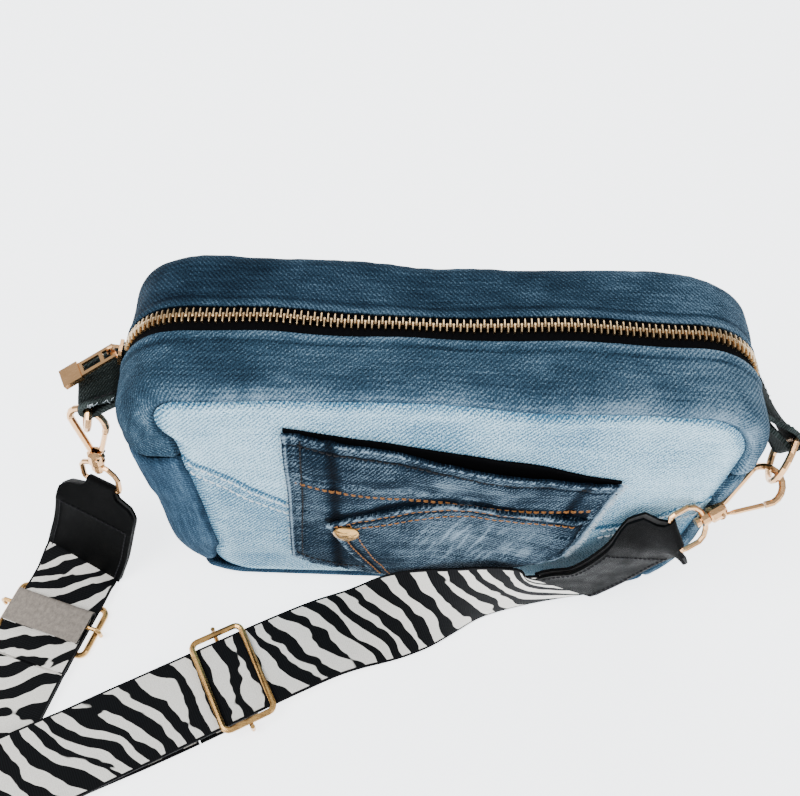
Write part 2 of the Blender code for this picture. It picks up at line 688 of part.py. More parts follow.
# Middle of each leather end from its ring to the webbing, as x, y, z and twist in degrees
# from lying flat; the first point is the swivel ring's own bar.
LEFT_LEATHER = ((-151.0, -22.5, 38.0, 34.0), (-156.0, -26.0, 20.0, 32.0), (-160.6, -29.6, 7.6, 30.0))
RIGHT_LEATHER = (
    (93.5, -44.8, 69.5, 92.0),
    (86.5, -44.8, 56.0, 104.0),
    (76.0, -44.4, 36.5, 106.0),
    (65.2, -43.4, 23.4, 100.0),
)

# The two webbings lie one on the other from one adjuster to the other. Middle of the pair.
DOUBLED_ROUTE = (
    (-177.8, -82.0, 4.8, 0.0),
    (-185.0, -105.0, 2.8, 0.0),
    (-192.0, -130.0, 1.75, 0.0),
    (-199.0, -155.0, 1.9, 0.0),
    (-205.0, -179.0, 3.0, 0.0),
    (-210.0, -203.0, 10.0, 25.0),
    (-217.0, -222.0, 17.0, 58.0),
    (-232.0, -239.0, 20.4, 86.0),
    (-253.0, -247.0, 20.6, 90.0),
    (-275.0, -241.0, 20.6, 90.0),
    (-289.0, -224.0, 20.6, 90.0),
    (-289.0, -205.0, 20.4, 84.0),
    (-278.0, -190.0, 18.0, 64.0),
    (-262.0, -178.0, 13.6, 36.0),
    (-243.0, -168.0, 9.4, 14.0),
    (-220.0, -156.5, 7.0, 2.0),
    (-195.0, -144.5, 6.1, 0.0),
    (-170.0, -131.6, 6.1, 0.0),
    (-147.0, -119.4, 5.6, 0.0),
)
# Single layers beyond the pair: the upper one through the right adjuster to its leather.
UPPER_ROUTE = (
    (-126.0, -108.3, RIGHT_TOP_PLY_Z, 0.0),
    (-105.0, -97.1, RIGHT_TOP_PLY_Z, 0.0),
    (-85.0, -86.5, RIGHT_TOP_PLY_Z, 0.0),
    (-65.0, -75.9, RIGHT_TOP_PLY_Z, 0.0),
    (-45.0, -65.8, 5.4, 0.0),
    (-28.0, -59.5, 5.2, -4.0),
    (-12.0, -55.6, 10.2, -30.0),
    (0.0, -53.5, 15.2, -50.0),
    (12.0, -51.2, 18.1, -66.0),
    (25.0, -47.8, 19.2, -78.0),
    (38.0, -45.9, 19.8, -86.0),
    (52.0, -44.6, 20.4, -95.0),
    (63.2, -43.8, 22.0, -99.0),
)
LOWER_ROUTE = (
    (-128.0, -109.3, 2.6, 0.0),
    (-116.0, -102.9, 1.3, 0.0),
    (-105.2, -97.2, RIGHT_LOW_PLY_Z, 0.0),
)
# From the left leather to the left adjuster, under the adjuster's bar.
LEFT_LEAD = (
    (-162.4, -31.6, 5.2, 0.0),
    (-166.0, -44.0, LEFT_LOW_PLY_Z, 0.0),
    (-171.0, -60.0, LEFT_LOW_PLY_Z, 0.0),
)


def strap_frames(route):
    """Sides and normals of a flat band from its route's twist."""
    path = route[:, :3]
    tangents = np.gradient(path, axis=0)
    tangents /= np.linalg.norm(tangents, axis=1)[:, None]
    sides = []
    for tangent, twist in zip(tangents, np.radians(route[:, 3])):
        level = unit((tangent[1], -tangent[0], 0.0))
        rise = np.cross(level, tangent)
        sides.append(math.cos(twist) * level + math.sin(twist) * rise)
    sides = np.array(sides)
    return sides, np.cross(sides, tangents)


def build_webbing(name, rows, lift_from, lift_to, lift, material, first_side=None, last_side=None):
    """One webbing; between two of its rows it is moved off the pair's middle by lift.

    Its first or last cross-sections are turned by steps to a given side, that of a leather end.
    """
    route = np.array(rows)
    sides, normals = strap_frames(route)
    path = route[:, :3].copy()
    path[lift_from:lift_to] += normals[lift_from:lift_to] * lift
    for start, step, end_side, shares in ((0, 1, first_side, (1.0,)), (-1, -1, last_side, (1.0, 0.65, 0.25))):
        if end_side is None:
            continue
        for k, share in enumerate(shares):
            at = start + step * k
            towards = end_side * math.copysign(1.0, np.dot(end_side, sides[at]))
            sides[at] = unit(share * towards + (1.0 - share) * sides[at])
    ribbon(name, path, sides, STRAP_WIDTH, PLY, material)


def build_straps(paint, left_leather_side, right_leather_side):
    pair = smooth_path(DOUBLED_ROUTE, STRAP_STEP)
    half_pair = PLY / 2 + GAP / 2
    count = len(pair)

    lead = smooth_path(LEFT_LEAD, STRAP_STEP)[:-1]
    lead_end = np.array([LEFT_LEAD[-1]])
    lead_out = np.array([[-176.0, -76.0, LEFT_LOW_PLY_Z, 0.0]])
    tail = smooth_path(LOWER_ROUTE, STRAP_STEP)
    rows = np.vstack([lead, lead_end, lead_out, pair, tail])
    start = len(lead) + 2
    end = start + count
    build_webbing("strap_left", rows, start, end, -half_pair, paint["webbing"], first_side=left_leather_side)

    upper = smooth_path(UPPER_ROUTE, STRAP_STEP)
    rows = np.vstack([pair, upper])
    build_webbing("strap_right", rows, 0, count, half_pair, paint["webbing"], last_side=right_leather_side)
    build_strap_end("strap_left_end", RIGHT_ADJUSTER, RIGHT_RUN, RIGHT_LOW_PLY_Z, 2.0, paint["webbing"])
    build_strap_end("strap_right_end", LEFT_ADJUSTER, -LEFT_RUN, LEFT_TOP_PLY_Z, 5.0, paint["webbing"])


def build_strap_end(name, adjuster, run, ply_z, reach, material):
    """A webbing's sewn end: in under the adjuster's bar, round it and back on top."""
    side = np.array([run[1], -run[0], 0.0])
    step = 3.8
    rows = [(-22.3, 0.0), (-14.0, 0.0), (-4.0, 0.0), (reach, 0.0)]
    half = step / 2
    rows += [(reach + half * math.sin(t), half * (1 - math.cos(t))) for t in np.linspace(0.5, 2.6, 5)]
    rows += [(reach, step), (-4.0, step), (-9.0, step)]
    path = [adjuster + u * run + np.array([0.0, 0.0, ply_z + h]) for u, h in rows]
    ribbon(name, path, [side] * len(path), STRAP_WIDTH, PLY, material)


def build_leather(side_name, spec, route, material):
    """The strap's leather end: a neck round the swivel ring's bar, shoulders, then full width."""
    centre, across, _, along = swivel_frame(spec)
    bar = centre + SWIVEL_BAR * along
    body = smooth_path(np.array(route), 6.0)
    sides, _ = strap_frames(body)
    first_side = across * math.copysign(1.0, np.dot(across, sides[0]))
    towards = unit(body[0, :3] - bar)
    path = [bar - 2.9 * towards, bar, bar + 2.9 * towards] + list(body[:, :3])
    all_sides = [first_side] * 3 + [unit(s) for s in sides]
    walked = np.concatenate([[0], np.cumsum(np.linalg.norm(np.diff(path, axis=0), axis=1))])
    spread = (LEATHER_NECK, LEATHER_NECK, LEATHER_WIDTH - 2, LEATHER_WIDTH)
    widths = np.interp(walked, (0, 9, 18, 24), spread)
    thick = np.interp(walked, (0, 6, 16), (6.0, 6.0, LEATHER))
    strip = ribbon(f"{side_name}_strap_leather", path, all_sides, widths, thick, material)
    bore_span = ((-LEATHER_WIDTH, SWIVEL_WIRE + 0.3), (LEATHER_WIDTH, SWIVEL_WIRE + 0.3))
    combine(strip, turned("leather_bore", bar, across, bore_span, material, 10), "DIFFERENCE")
    return sides[-1]


def build_adjuster(side_name, centre, run, frame_z, bar_offset, paint):
    """A rectangular frame, and a staple-shaped bar across its middle on the strap's far side."""
    across = np.array([run[1], -run[0], 0.0])
    up = np.array([0.0, 0.0, 1.0])
    origin = centre + frame_z * up
    corner = 3.0
    outline = rounded_outline(FRAME_HALF_SHORT, FRAME_HALF_LONG, corner)
    points = [origin + u * run + w * across for u, w in outline]
    wire(f"{side_name}_adjuster_frame", points, FRAME_WIRE, paint["old_brass"], closed=True, origin=origin)

    end = FRAME_HALF_LONG + FRAME_WIRE + BAR_WIRE + 0.4
    rows = [(-end, 0.0), (-end, bar_offset * 0.7), (-end + 1.2, bar_offset), (0.0, bar_offset)]
    rows += [(end - 1.2, bar_offset), (end, bar_offset * 0.7), (end, 0.0)]
    bar = [origin + w * across + h * up for w, h in rows]
    wire(f"{side_name}_adjuster_bar", bar, BAR_WIRE, paint["old_brass"], origin=origin)


def rounded_outline(half_u, half_w, radius, steps=4):
    """A rectangle's middle line with round corners, as points in order."""
    points = []
    for quarter, (su, sw) in enumerate(((1, 1), (-1, 1), (-1, -1), (1, -1))):
        for k in range(steps + 1):
            t = math.radians(90 * quarter + 90 * k / steps)
            u = su * (half_u - radius) + radius * math.cos(t)
            w = sw * (half_w - radius) + radius * math.sin(t)
            points.append((u, w))
    return points


# ---------------------------------------------------------------- the whole pack


def main():
    clear_scene()
    paint = {
        "light_denim": make_material("light_denim", (0.36, 0.52, 0.66), 0.9),
        "mid_denim": make_material("mid_denim", (0.13, 0.23, 0.36), 0.9),
        "dark_denim": make_material("dark_denim", (0.05, 0.10, 0.18), 0.9),
        "tab_denim": make_material("tab_denim", (0.03, 0.045, 0.055), 0.9),
        "tape": make_material("zip_tape", (0.01, 0.01, 0.012), 0.9),
        "lining": make_material("lining", (0.10, 0.11, 0.13), 0.85),
        "brass": make_material("zip_brass", (0.80, 0.66, 0.42), 0.3, 1.0),
        "gold": make_material("rose_gold", (0.86, 0.62, 0.40), 0.2, 1.0),
        "old_brass": make_material("antique_brass", (0.62, 0.42, 0.20), 0.3, 1.0),
        "leather": make_material("black_leather", (0.012, 0.013, 0.014), 0.5),
        "webbing": make_material("webbing", (0.35, 0.35, 0.34), 0.8),
    }
    build_bag(paint)
    build_pocket(paint)
    build_zip_slider(paint)
    for side_name, spec in SIDES.items():
        build_tab(f"{side_name}_tab", spec, paint["tab_denim"])
        build_d_ring(f"{side_name}_d_ring", spec, paint["gold"])
        build_hook(side_name, spec, paint["gold"])
        build_swivel(side_name, spec, paint["gold"])
    left_leather_side = build_leather("left", SIDES["left"], LEFT_LEATHER, paint["leather"])
    right_leather_side = build_leather("right", SIDES["right"], RIGHT_LEATHER, paint["leather"])
    build_straps(paint, left_leather_side, right_leather_side)
    build_adjuster("left", LEFT_ADJUSTER, LEFT_RUN, LEFT_FRAME_Z, BAR_DROP, paint)
    build_adjuster("right", RIGHT_ADJUSTER, RIGHT_RUN, RIGHT_FRAME_Z, -BAR_DROP, paint)


main()
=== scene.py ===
import json
import math
import bpy
import numpy as np
from mathutils import Matrix, Vector, noise

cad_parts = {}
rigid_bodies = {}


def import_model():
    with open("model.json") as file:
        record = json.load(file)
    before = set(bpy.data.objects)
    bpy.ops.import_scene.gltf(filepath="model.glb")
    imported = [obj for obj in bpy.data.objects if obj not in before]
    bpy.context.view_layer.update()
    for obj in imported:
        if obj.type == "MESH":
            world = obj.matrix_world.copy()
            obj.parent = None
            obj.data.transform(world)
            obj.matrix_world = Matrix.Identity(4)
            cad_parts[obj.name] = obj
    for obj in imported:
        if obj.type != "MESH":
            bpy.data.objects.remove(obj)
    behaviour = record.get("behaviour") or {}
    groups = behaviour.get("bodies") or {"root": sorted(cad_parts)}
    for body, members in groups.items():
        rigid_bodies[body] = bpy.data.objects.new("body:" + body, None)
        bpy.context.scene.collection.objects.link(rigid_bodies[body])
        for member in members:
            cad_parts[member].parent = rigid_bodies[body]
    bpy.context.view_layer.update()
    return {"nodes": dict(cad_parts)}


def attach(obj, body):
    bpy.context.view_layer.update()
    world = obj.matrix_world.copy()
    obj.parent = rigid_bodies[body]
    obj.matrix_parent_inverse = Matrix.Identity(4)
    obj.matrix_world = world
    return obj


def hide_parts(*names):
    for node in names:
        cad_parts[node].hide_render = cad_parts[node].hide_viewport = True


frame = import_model()
MM = 0.001

# ---------------------------------------------------------------- camera


def unit(v):
    v = np.asarray(v, float)
    return v / np.linalg.norm(v)


def add_camera():
    """The camera above and in front of the bag, a little to its left."""
    yaw, down, roll = (math.radians(a) for a in (2.09, 54.95, 3.82))
    look = np.array([math.sin(yaw) * math.cos(down), math.cos(yaw) * math.cos(down), -math.sin(down)])
    level = unit(np.cross(look, (0, 0, 1)))
    over = np.cross(level, look)
    right = math.cos(roll) * level + math.sin(roll) * over
    up = -math.sin(roll) * level + math.cos(roll) * over
    data = bpy.data.cameras.new("camera")
    data.sensor_width = 36.0
    data.lens = 43.8
    data.shift_x = -0.008
    data.shift_y = 0.0095
    data.clip_start = 0.01
    cam = bpy.data.objects.new("camera", data)
    bpy.context.scene.collection.objects.link(cam)
    rows = [[right[i], up[i], -look[i], (-0.0217, -0.2335, 0.4308)[i]] for i in range(3)]
    cam.matrix_world = Matrix(rows + [[0, 0, 0, 1]])
    bpy.context.scene.camera = cam


add_camera()

# ---------------------------------------------------------------- node materials


class Shader:
    """A Principled material and short names for the nodes it is made from."""

    def __init__(self, name, roughness=0.8, metallic=0.0, specular=0.5, sheen=0.0, coat=0.0):
        self.material = bpy.data.materials.new(name)
        self.material.use_nodes = True
        self.tree = self.material.node_tree
        self.out = self.tree.nodes["Principled BSDF"]
        self.out.inputs["Roughness"].default_value = roughness
        self.out.inputs["Metallic"].default_value = metallic
        self.out.inputs["Specular IOR Level"].default_value = specular
        self.out.inputs["Sheen Weight"].default_value = sheen
        self.out.inputs["Coat Weight"].default_value = coat

    def put(self, socket, value):
        if isinstance(value, bpy.types.NodeSocket):
            self.tree.links.new(value, socket)
        elif hasattr(socket, "default_value"):
            kind = socket.type
            if kind == "RGBA" and len(value) == 3:
                value = (*value, 1.0)
            socket.default_value = value

    def node(self, kind, values=(), **settings):
        node = self.tree.nodes.new("ShaderNode" + kind)
        for key, value in settings.items():
            setattr(node, key, value)
        for key, value in dict(values).items():
            self.put(node.inputs[key], value)
        return node

    def math(self, operation, a, b=0.0, c=0.0, clamp=False):
        return self.node("Math", {0: a, 1: b, 2: c}, operation=operation, use_clamp=clamp).outputs[0]

    def mix(self, factor, a, b, blend="MIX"):
        node = self.node("Mix", data_type="RGBA", blend_type=blend)
        self.put(node.inputs["Factor"], factor)
        self.put(node.inputs["A"] if node.inputs["A"].type == "RGBA" else node.inputs[6], a)
        self.put(node.inputs[7], b)
        return node.outputs[2]

    def uv(self, scale=(1, 1, 1), turn=0.0):
        coordinate = self.node("UVMap")
        return self.node(
            "Mapping", {"Vector": coordinate.outputs[0], "Rotation": (0, 0, turn), "Scale": scale}
        ).outputs[0]

    def place(self, scale=(1, 1, 1)):
        coordinate = self.node("TexCoord")
        return self.node("Mapping", {"Vector": coordinate.outputs["Object"], "Scale": scale}).outputs[0]

    def noise(self, vector, scale=1.0, detail=2.0, rough=0.5, distort=0.0):
        values = {"Vector": vector, "Scale": scale, "Detail": detail, "Roughness": rough, "Distortion": distort}
        return self.node("TexNoise", values).outputs[0]

    def waves(self, vector, scale=1.0, distort=0.0, detail=0.0, detail_scale=1.0):
        values = {
            "Vector": vector, "Scale": scale, "Distortion": distort, "Detail": detail, "Detail Scale": detail_scale
        }
        return self.node("TexWave", values, wave_type="BANDS", bands_direction="X").outputs["Fac"]

    def spread(self, value, low, high, start=0.0, stop=1.0):
        node = self.node("MapRange", {0: value, 1: low, 2: high, 3: start, 4: stop})
        return node.outputs[0]

    def attribute(self, name):
        return self.node("Attribute", attribute_name=name).outputs["Fac"]

    def bump(self, height, distance, strength=1.0):
        node = self.node("Bump", {"Height": height, "Distance": distance, "Strength": strength})
        self.tree.links.new(node.outputs[0], self.out.inputs["Normal"])

    def colour(self, value):
        self.put(self.out.inputs["Base Color"], value)
        return self.material


def denim(name, dark, mid, light, streak=0.0, twill=1.0, fade=1.0, slant=0.7):
    """Twill cloth: UVs are in millimetres, u along the weft. wear lightens, shade darkens."""
    s = Shader(name, roughness=0.92, specular=0.06)
    diagonal = s.waves(s.uv((0.22, 0.22, 1), slant), 1.0, 1.4, 2.0, 2.0)
    yarn = s.noise(s.uv((0.8, 2.4, 1)), 1.0, 3.0, 0.7)
    grain = s.noise(s.uv((1.9, 1.5, 1)), 1.0, 2.0, 0.6)
    slub = s.noise(s.uv((0.045, 0.7, 1), streak), 1.0, 5.0, 0.7)
    cloud = s.noise(s.uv((0.035, 0.045, 1)), 1.0, 3.0, 0.55, 0.4)
    tone = s.attribute("wear")
    weights = ((cloud, 0.55 * fade), (slub, 0.5), (diagonal, 0.4 * twill), (yarn, 0.5 * twill), (grain, 0.85 * twill))
    for field, share in weights:
        low, high = (0.0, 1.0) if field is diagonal else (0.32, 0.68)
        tone = s.math("ADD", tone, s.spread(field, low, high, -0.5 * share, 0.5 * share))
    tone = s.math("SUBTRACT", tone, s.attribute("shade"))
    low = s.spread(tone, -0.8, 0.0)
    high = s.spread(tone, 0.0, 1.0)
    colour = s.mix(high, s.mix(low, dark, mid), light)
    height = s.math("ADD", s.math("MULTIPLY", diagonal, 0.6), s.math("MULTIPLY", grain, 0.8))
    s.bump(height, 0.0004, 0.8)
    return s.colour(colour)


def thread(name, colour):
    s = Shader(name, roughness=0.7, specular=0.15)
    fibre = s.noise(s.place((2600, 2600, 2600)), 1.0, 2.0)
    tint = s.mix(s.spread(fibre, 0.3, 0.7), tuple(c * 0.6 for c in colour), tuple(min(1, c * 1.2) for c in colour))
    return s.colour(tint)


def metal(name, colour, dark, roughness, wear=0.3):
    """Plated metal with faint cloudy dulling and fine scratches."""
    s = Shader(name, roughness=roughness, metallic=1.0)
    cloud = s.noise(s.place((160, 160, 160)), 1.0, 3.0)
    scratch = s.noise(s.place((260, 2400, 900)), 1.0, 3.0, 0.7)
    s.put(s.out.inputs["Roughness"], s.spread(scratch, 0.35, 0.75, roughness * 0.8, roughness * 1.6))
    s.bump(scratch, 0.00004, 0.25)
    return s.colour(s.mix(s.math("MULTIPLY", s.spread(cloud, 0.4, 0.75), wear), colour, dark))


def hide(name, colour, gloss=0.42):
    """Leather: cells of grain with darker creases."""
    s = Shader(name, roughness=gloss, specular=0.035)
    cells = s.node("TexVoronoi", {"Vector": s.place((1500, 1500, 1500))}, feature="DISTANCE_TO_EDGE").outputs[0]
    cloud = s.noise(s.place((90, 90, 90)), 1.0, 4.0)
    s.bump(s.math("ADD", s.spread(cells, 0.0, 0.25), s.math("MULTIPLY", cloud, 0.4)), 0.00012, 0.5)
    s.put(s.out.inputs["Roughness"], s.spread(cloud, 0.3, 0.7, gloss * 0.8, gloss * 1.3))
    light = tuple(c * 2.0 + 0.002 for c in colour)
    return s.colour(s.mix(s.spread(cloud, 0.35, 0.8), colour, light))


def stripes(name):
    """Animal-stripe webbing: UVs in millimetres, u along the strap and v across it."""
    s = Shader(name, roughness=0.7, specular=0.08)
    plain = s.node("SeparateXYZ", {0: s.node("UVMap").outputs[0]})
    u, v = plain.outputs[0], plain.outputs[1]
    lean = s.spread(s.noise(s.uv((0.013, 0.002, 1)), 1.0, 1.0), 0.35, 0.65, 0.05, 1.05)
    sway = s.math("MULTIPLY", s.noise(s.uv((0.035, 0.045, 1)), 1.0, 2.0, 0.45), 11.0)
    along = s.math("ADD", s.math("SUBTRACT", u, s.math("MULTIPLY", v, lean)), sway)
    wave = s.math("SINE", s.math("MULTIPLY", along, 2 * math.pi / 10.6))
    across = s.node("CombineXYZ", {0: s.math("MULTIPLY", along, 0.11), 1: s.math("MULTIPLY", v, 0.055)}).outputs[0]
    taper = s.noise(across, 1.0, 2.0, 0.5)
    level = s.math("ADD", wave, s.spread(taper, 0.3, 0.7, -1.15, 1.05))
    white = s.spread(level, -0.06, 0.06)
    border = s.spread(s.math("ABSOLUTE", v), 17.9, 18.1, 1.0, 0.0)
    pebble = s.node("TexVoronoi", {"Vector": s.uv((1.15, 1.15, 1))}, feature="F1").outputs[0]
    pale = s.mix(s.spread(pebble, 0.15, 0.7), (0.95, 0.93, 0.87), (0.68, 0.65, 0.59))
    weave = s.waves(s.uv((0.33, 0.05, 1)), 1.0, 0.4)
    black = s.mix(weave, (0.0012, 0.0014, 0.0018), (0.004, 0.0045, 0.0055))
    factor = s.math("MULTIPLY", white, border)
    height = s.math("ADD", s.math("MULTIPLY", s.math("MULTIPLY", white, s.math("SUBTRACT", 1.0, pebble)), 1.0), weave)
    s.bump(height, 0.00022, 0.5)
    return s.colour(s.mix(factor, black, pale))


def suede(name, colour):
    s = Shader(name, roughness=0.95, specular=0.05)
    nap = s.noise(s.uv((0.5, 0.6, 1)), 1.0, 5.0, 0.75)
    s.bump(nap, 0.0003, 0.6)
    return s.colour(s.mix(s.spread(nap, 0.3, 0.7), tuple(c * 0.62 for c in colour), tuple(c * 1.25 for c in colour)))


PAINT = {
    "gusset": denim("denim_gusset", (0.004, 0.011, 0.020), (0.022, 0.053, 0.086), (0.22, 0.32, 0.41), 0.05, 1.1, 0.8, -0.7),
    "back": denim("denim_back", (0.002, 0.006, 0.012), (0.013, 0.033, 0.056), (0.14, 0.22, 0.30), 0.03, 1.0, 0.9, -0.7),
    "pale": denim("denim_pale", (0.025, 0.08, 0.14), (0.13, 0.28, 0.40), (0.52, 0.74, 0.86), 0.1, 2.7, 1.0),
    "side": denim("denim_side", (0.003, 0.010, 0.020), (0.017, 0.044, 0.078), (0.12, 0.21, 0.31), 1.5, 0.9, 0.8),
    "pocket": denim("denim_pocket", (0.0006, 0.0018, 0.004), (0.005, 0.015, 0.028), (0.20, 0.28, 0.355), 1.45, 1.0, 0.9),
    "tab": denim("denim_tab", (0.001, 0.0016, 0.0016), (0.006, 0.009, 0.0085), (0.055, 0.07, 0.068), 0.1, 1.1, 0.5),
    "stitch": thread("thread_orange", (0.30, 0.125, 0.035)),
    "pale_stitch": thread("thread_pale", (0.66, 0.74, 0.79)),
    "dark_stitch": thread("thread_black", (0.010, 0.010, 0.012)),
    "fray": thread("thread_frayed", (0.58, 0.66, 0.72)),
    "gold": metal("gold_plate", (0.66, 0.38, 0.18), (0.36, 0.19, 0.08), 0.2),
    "old_gold": metal("gold_antique", (0.55, 0.32, 0.11), (0.22, 0.11, 0.04), 0.24, 0.8),
    "brass": metal("brass_teeth", (0.56, 0.40, 0.22), (0.26, 0.16, 0.08), 0.3, 0.5),
    "leather": hide("leather_black", (0.0007, 0.0008, 0.0009), 0.55),
    "underside": suede("leather_underside", (0.07, 0.07, 0.07)),
    "zebra": stripes("webbing_striped"),
    "suede": suede("webbing_backing", (0.24, 0.21, 0.18)),
    "tape": suede("zip_tape_black", (0.0015, 0.0015, 0.002)),
    "lining": suede("lining_cloth", (0.02, 0.022, 0.027)),
}

# ---------------------------------------------------------------- making pieces


def make(name, points, faces, material, body, replaced=(), uv=None, fields=None, sharp=50.0, extra=()):
    """One mesh piece in millimetres; extra is (material, face numbers) for a second finish."""
    mesh = bpy.data.meshes.new(name)
    mesh.from_pydata((np.asarray(points, float) * MM).tolist(), [], faces)
    mesh.update()
    mesh.shade_smooth()
    mesh.set_sharp_from_angle(angle=math.radians(sharp))
    if uv is not None:
        layer = mesh.uv_layers.new(name="UVMap")
        index = np.empty(len(mesh.loops), dtype=np.int32)
        mesh.loops.foreach_get("vertex_index", index)
        layer.data.foreach_set("uv", np.asarray(uv, float)[index].ravel())
    for key, values in (fields or {}).items():
        attribute = mesh.attributes.new(key, "FLOAT", "POINT")
        attribute.data.foreach_set("value", np.asarray(values, float).ravel())
    mesh.materials.append(material)
    for number, (other, chosen) in enumerate(extra, 1):
        mesh.materials.append(other)
        for f in chosen:
            mesh.polygons[f].material_index = number
    obj = bpy.data.objects.new(name, mesh)
    bpy.context.scene.collection.objects.link(obj)
    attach(obj, body)
    if replaced:
        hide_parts(*replaced)
    return obj


def ripple(points, size, seed):
    """Smooth noise from -1 to 1 at each point."""
    flat = np.asarray(points, float).reshape(-1, 3) / size
    values = [noise.noise(Vector((x + seed, y + seed * 0.7, z - seed))) for x, y, z in flat]
    return np.array(values).reshape(np.asarray(points).shape[:-1])


def normals_of(grid, wrap=False):
    du = np.gradient(grid, axis=0)
    if wrap:
        du = (np.roll(grid, -1, axis=0) - np.roll(grid, 1, axis=0)) / 2
    n = np.cross(du, np.gradient(grid, axis=1))
    length = np.linalg.norm(n, axis=-1, keepdims=True)
    return n / np.maximum(length, 1e-9)


def cloth(name, grid, uv, thickness, material, body, replaced=(), flip=False, fields=None, wrap=False, inside=None):
    """A closed cloth: grid is its outer face, and the inner face lies a thickness behind it."""
    n, m = grid.shape[:2]
    inward = normals_of(grid, wrap) * (thickness if flip else -thickness)
    points = np.concatenate([grid.reshape(-1, 3), (grid + inward).reshape(-1, 3)])
    faces = []
    size = n * m
    rows = n if wrap else n - 1
    for i in range(rows):
        k = (i + 1) % n
        for j in range(m - 1):
            quad = (i * m + j, k * m + j, k * m + j + 1, i * m + j + 1)
            faces.append(quad if not flip else quad[::-1])
    outer_count = len(faces)
    for i in range(rows):
        k = (i + 1) % n
        for j in range(m - 1):
            quad = (i * m + j, i * m + j + 1, k * m + j + 1, k * m + j)
            quad = tuple(size + q for q in quad)
            faces.append(quad if not flip else quad[::-1])
    for i in range(rows):
        k = (i + 1) % n
        for j, order in ((0, 1), (m - 1, -1)):
            quad = (i * m + j, size + i * m + j, size + k * m + j, k * m + j)[::order]
            faces.append(quad if not flip else quad[::-1])
    if not wrap:
        for i, order in ((0, -1), (n - 1, 1)):
            for j in range(m - 1):
                quad = (i * m + j, size + i * m + j, size + i * m + j + 1, i * m + j + 1)[::order]
                faces.append(quad if not flip else quad[::-1])
    uvs = np.concatenate([uv.reshape(-1, 2)] * 2)
    filled = {"wear": np.zeros(grid.shape[:2]), "shade": np.zeros(grid.shape[:2])}
    filled.update(fields or {})
    both = {key: np.concatenate([np.asarray(value).ravel()] * 2) for key, value in filled.items()}
    extra = [(inside, range(outer_count, 2 * outer_count))] if inside is not None else ()
    return make(name, points, faces, material, body, replaced, uvs, both, 50.0, extra)


def tube(path, radius, sides=12, closed=False):
    """Points and faces of a round wire; radius may change along it."""
    path = np.asarray(path, float)
    if closed:
        tangents = np.roll(path, -1, axis=0) - np.roll(path, 1, axis=0)
    else:
        tangents = np.gradient(path, axis=0)
    tangents /= np.linalg.norm(tangents, axis=1)[:, None]
    first = [unit(np.cross(tangents[0], (0.31, 0.12, 0.94)))]
    for tangent in tangents[1:]:
        first.append(unit(first[-1] - np.dot(first[-1], tangent) * tangent))
    first = np.array(first)
    second = np.cross(tangents, first)
    turn = np.arange(sides) * 2 * math.pi / sides
    radius = np.broadcast_to(radius, len(path))[:, None, None]
    ring = np.cos(turn)[None, :, None] * first[:, None] + np.sin(turn)[None, :, None] * second[:, None]
    points = (path[:, None] + radius * ring).reshape(-1, 3)
    faces = []
    count = len(path)
    for i in range(count if closed else count - 1):
        a, b = i * sides, (i + 1) % count * sides
        faces += [(a + j, a + (j + 1) % sides, b + (j + 1) % sides, b + j) for j in range(sides)]
    if not closed:
        faces.append(tuple(reversed(range(sides))))
        faces.append(tuple(range((count - 1) * sides, count * sides)))
    return points, faces


def merged(parts):
    """Several (points, faces) as one."""
    points = []
    faces = []
    start = 0
    for some, polygons in parts:
        points.append(np.asarray(some, float))
        faces += [tuple(start + v for v in f) for f in polygons]
        start += len(some)
    return np.concatenate(points), faces


def stitches(name, path, outward, material, body, pitch=3.0, length=2.2, radius=0.36):
    """A row of separate stitches that dive into the cloth at their ends."""
    path = np.asarray(path, float)
    outward = np.asarray(outward, float)
    walked = np.concatenate([[0], np.cumsum(np.linalg.norm(np.diff(path, axis=0), axis=1))])
    parts = []
    for start in np.arange(0.4, walked[-1] - length, pitch):
        at = start + length * np.array([0.0, 0.12, 0.5, 0.88, 1.0])
        line = np.stack([np.interp(at, walked, path[:, k]) for k in range(3)], axis=1)
        out = np.stack([np.interp(at, walked, outward[:, k]) for k in range(3)], axis=1)
        line = line + out * np.array([-0.35, 0.0, 0.22, 0.0, -0.35])[:, None]
        parts.append(tube(line, radius * np.array([0.6, 0.95, 1.0, 0.95, 0.6]), 6))
    points, faces = merged(parts)
    return make(name, points, faces, material, body)


def fringe(name, path, ways, outward, material, body, count, length, seed, radius=0.11):
    """Loose thread ends along a raw edge; ways is the direction they leave it."""
    spin = np.random.default_rng(seed)
    path = np.asarray(path, float)
    walked = np.concatenate([[0], np.cumsum(np.linalg.norm(np.diff(path, axis=0), axis=1))])
    parts = []
    for at in np.sort(spin.uniform(0, walked[-1], count)):
        root = np.array([np.interp(at, walked, path[:, k]) for k in range(3)])
        way = np.array([np.interp(at, walked, np.asarray(ways)[:, k]) for k in range(3)])
        out = np.array([np.interp(at, walked, np.asarray(outward)[:, k]) for k in range(3)])
        along = unit(np.cross(way, out))
        reach = length * spin.uniform(0.35, 1.0)
        lean = along * spin.normal(0, 0.45) + out * spin.uniform(-0.1, 0.35)
        line = [root - way * 0.6, root + way * reach * 0.5 + lean * reach * 0.3, root + way * reach + lean * reach]
        parts.append(tube(line, np.array([radius, radius, radius * 0.5]), 3))
    points, faces = merged(parts)
    return make(name, points, faces, material, body)

# ---------------------------------------------------------------- strap: routes repeated from the CAD, in millimetres

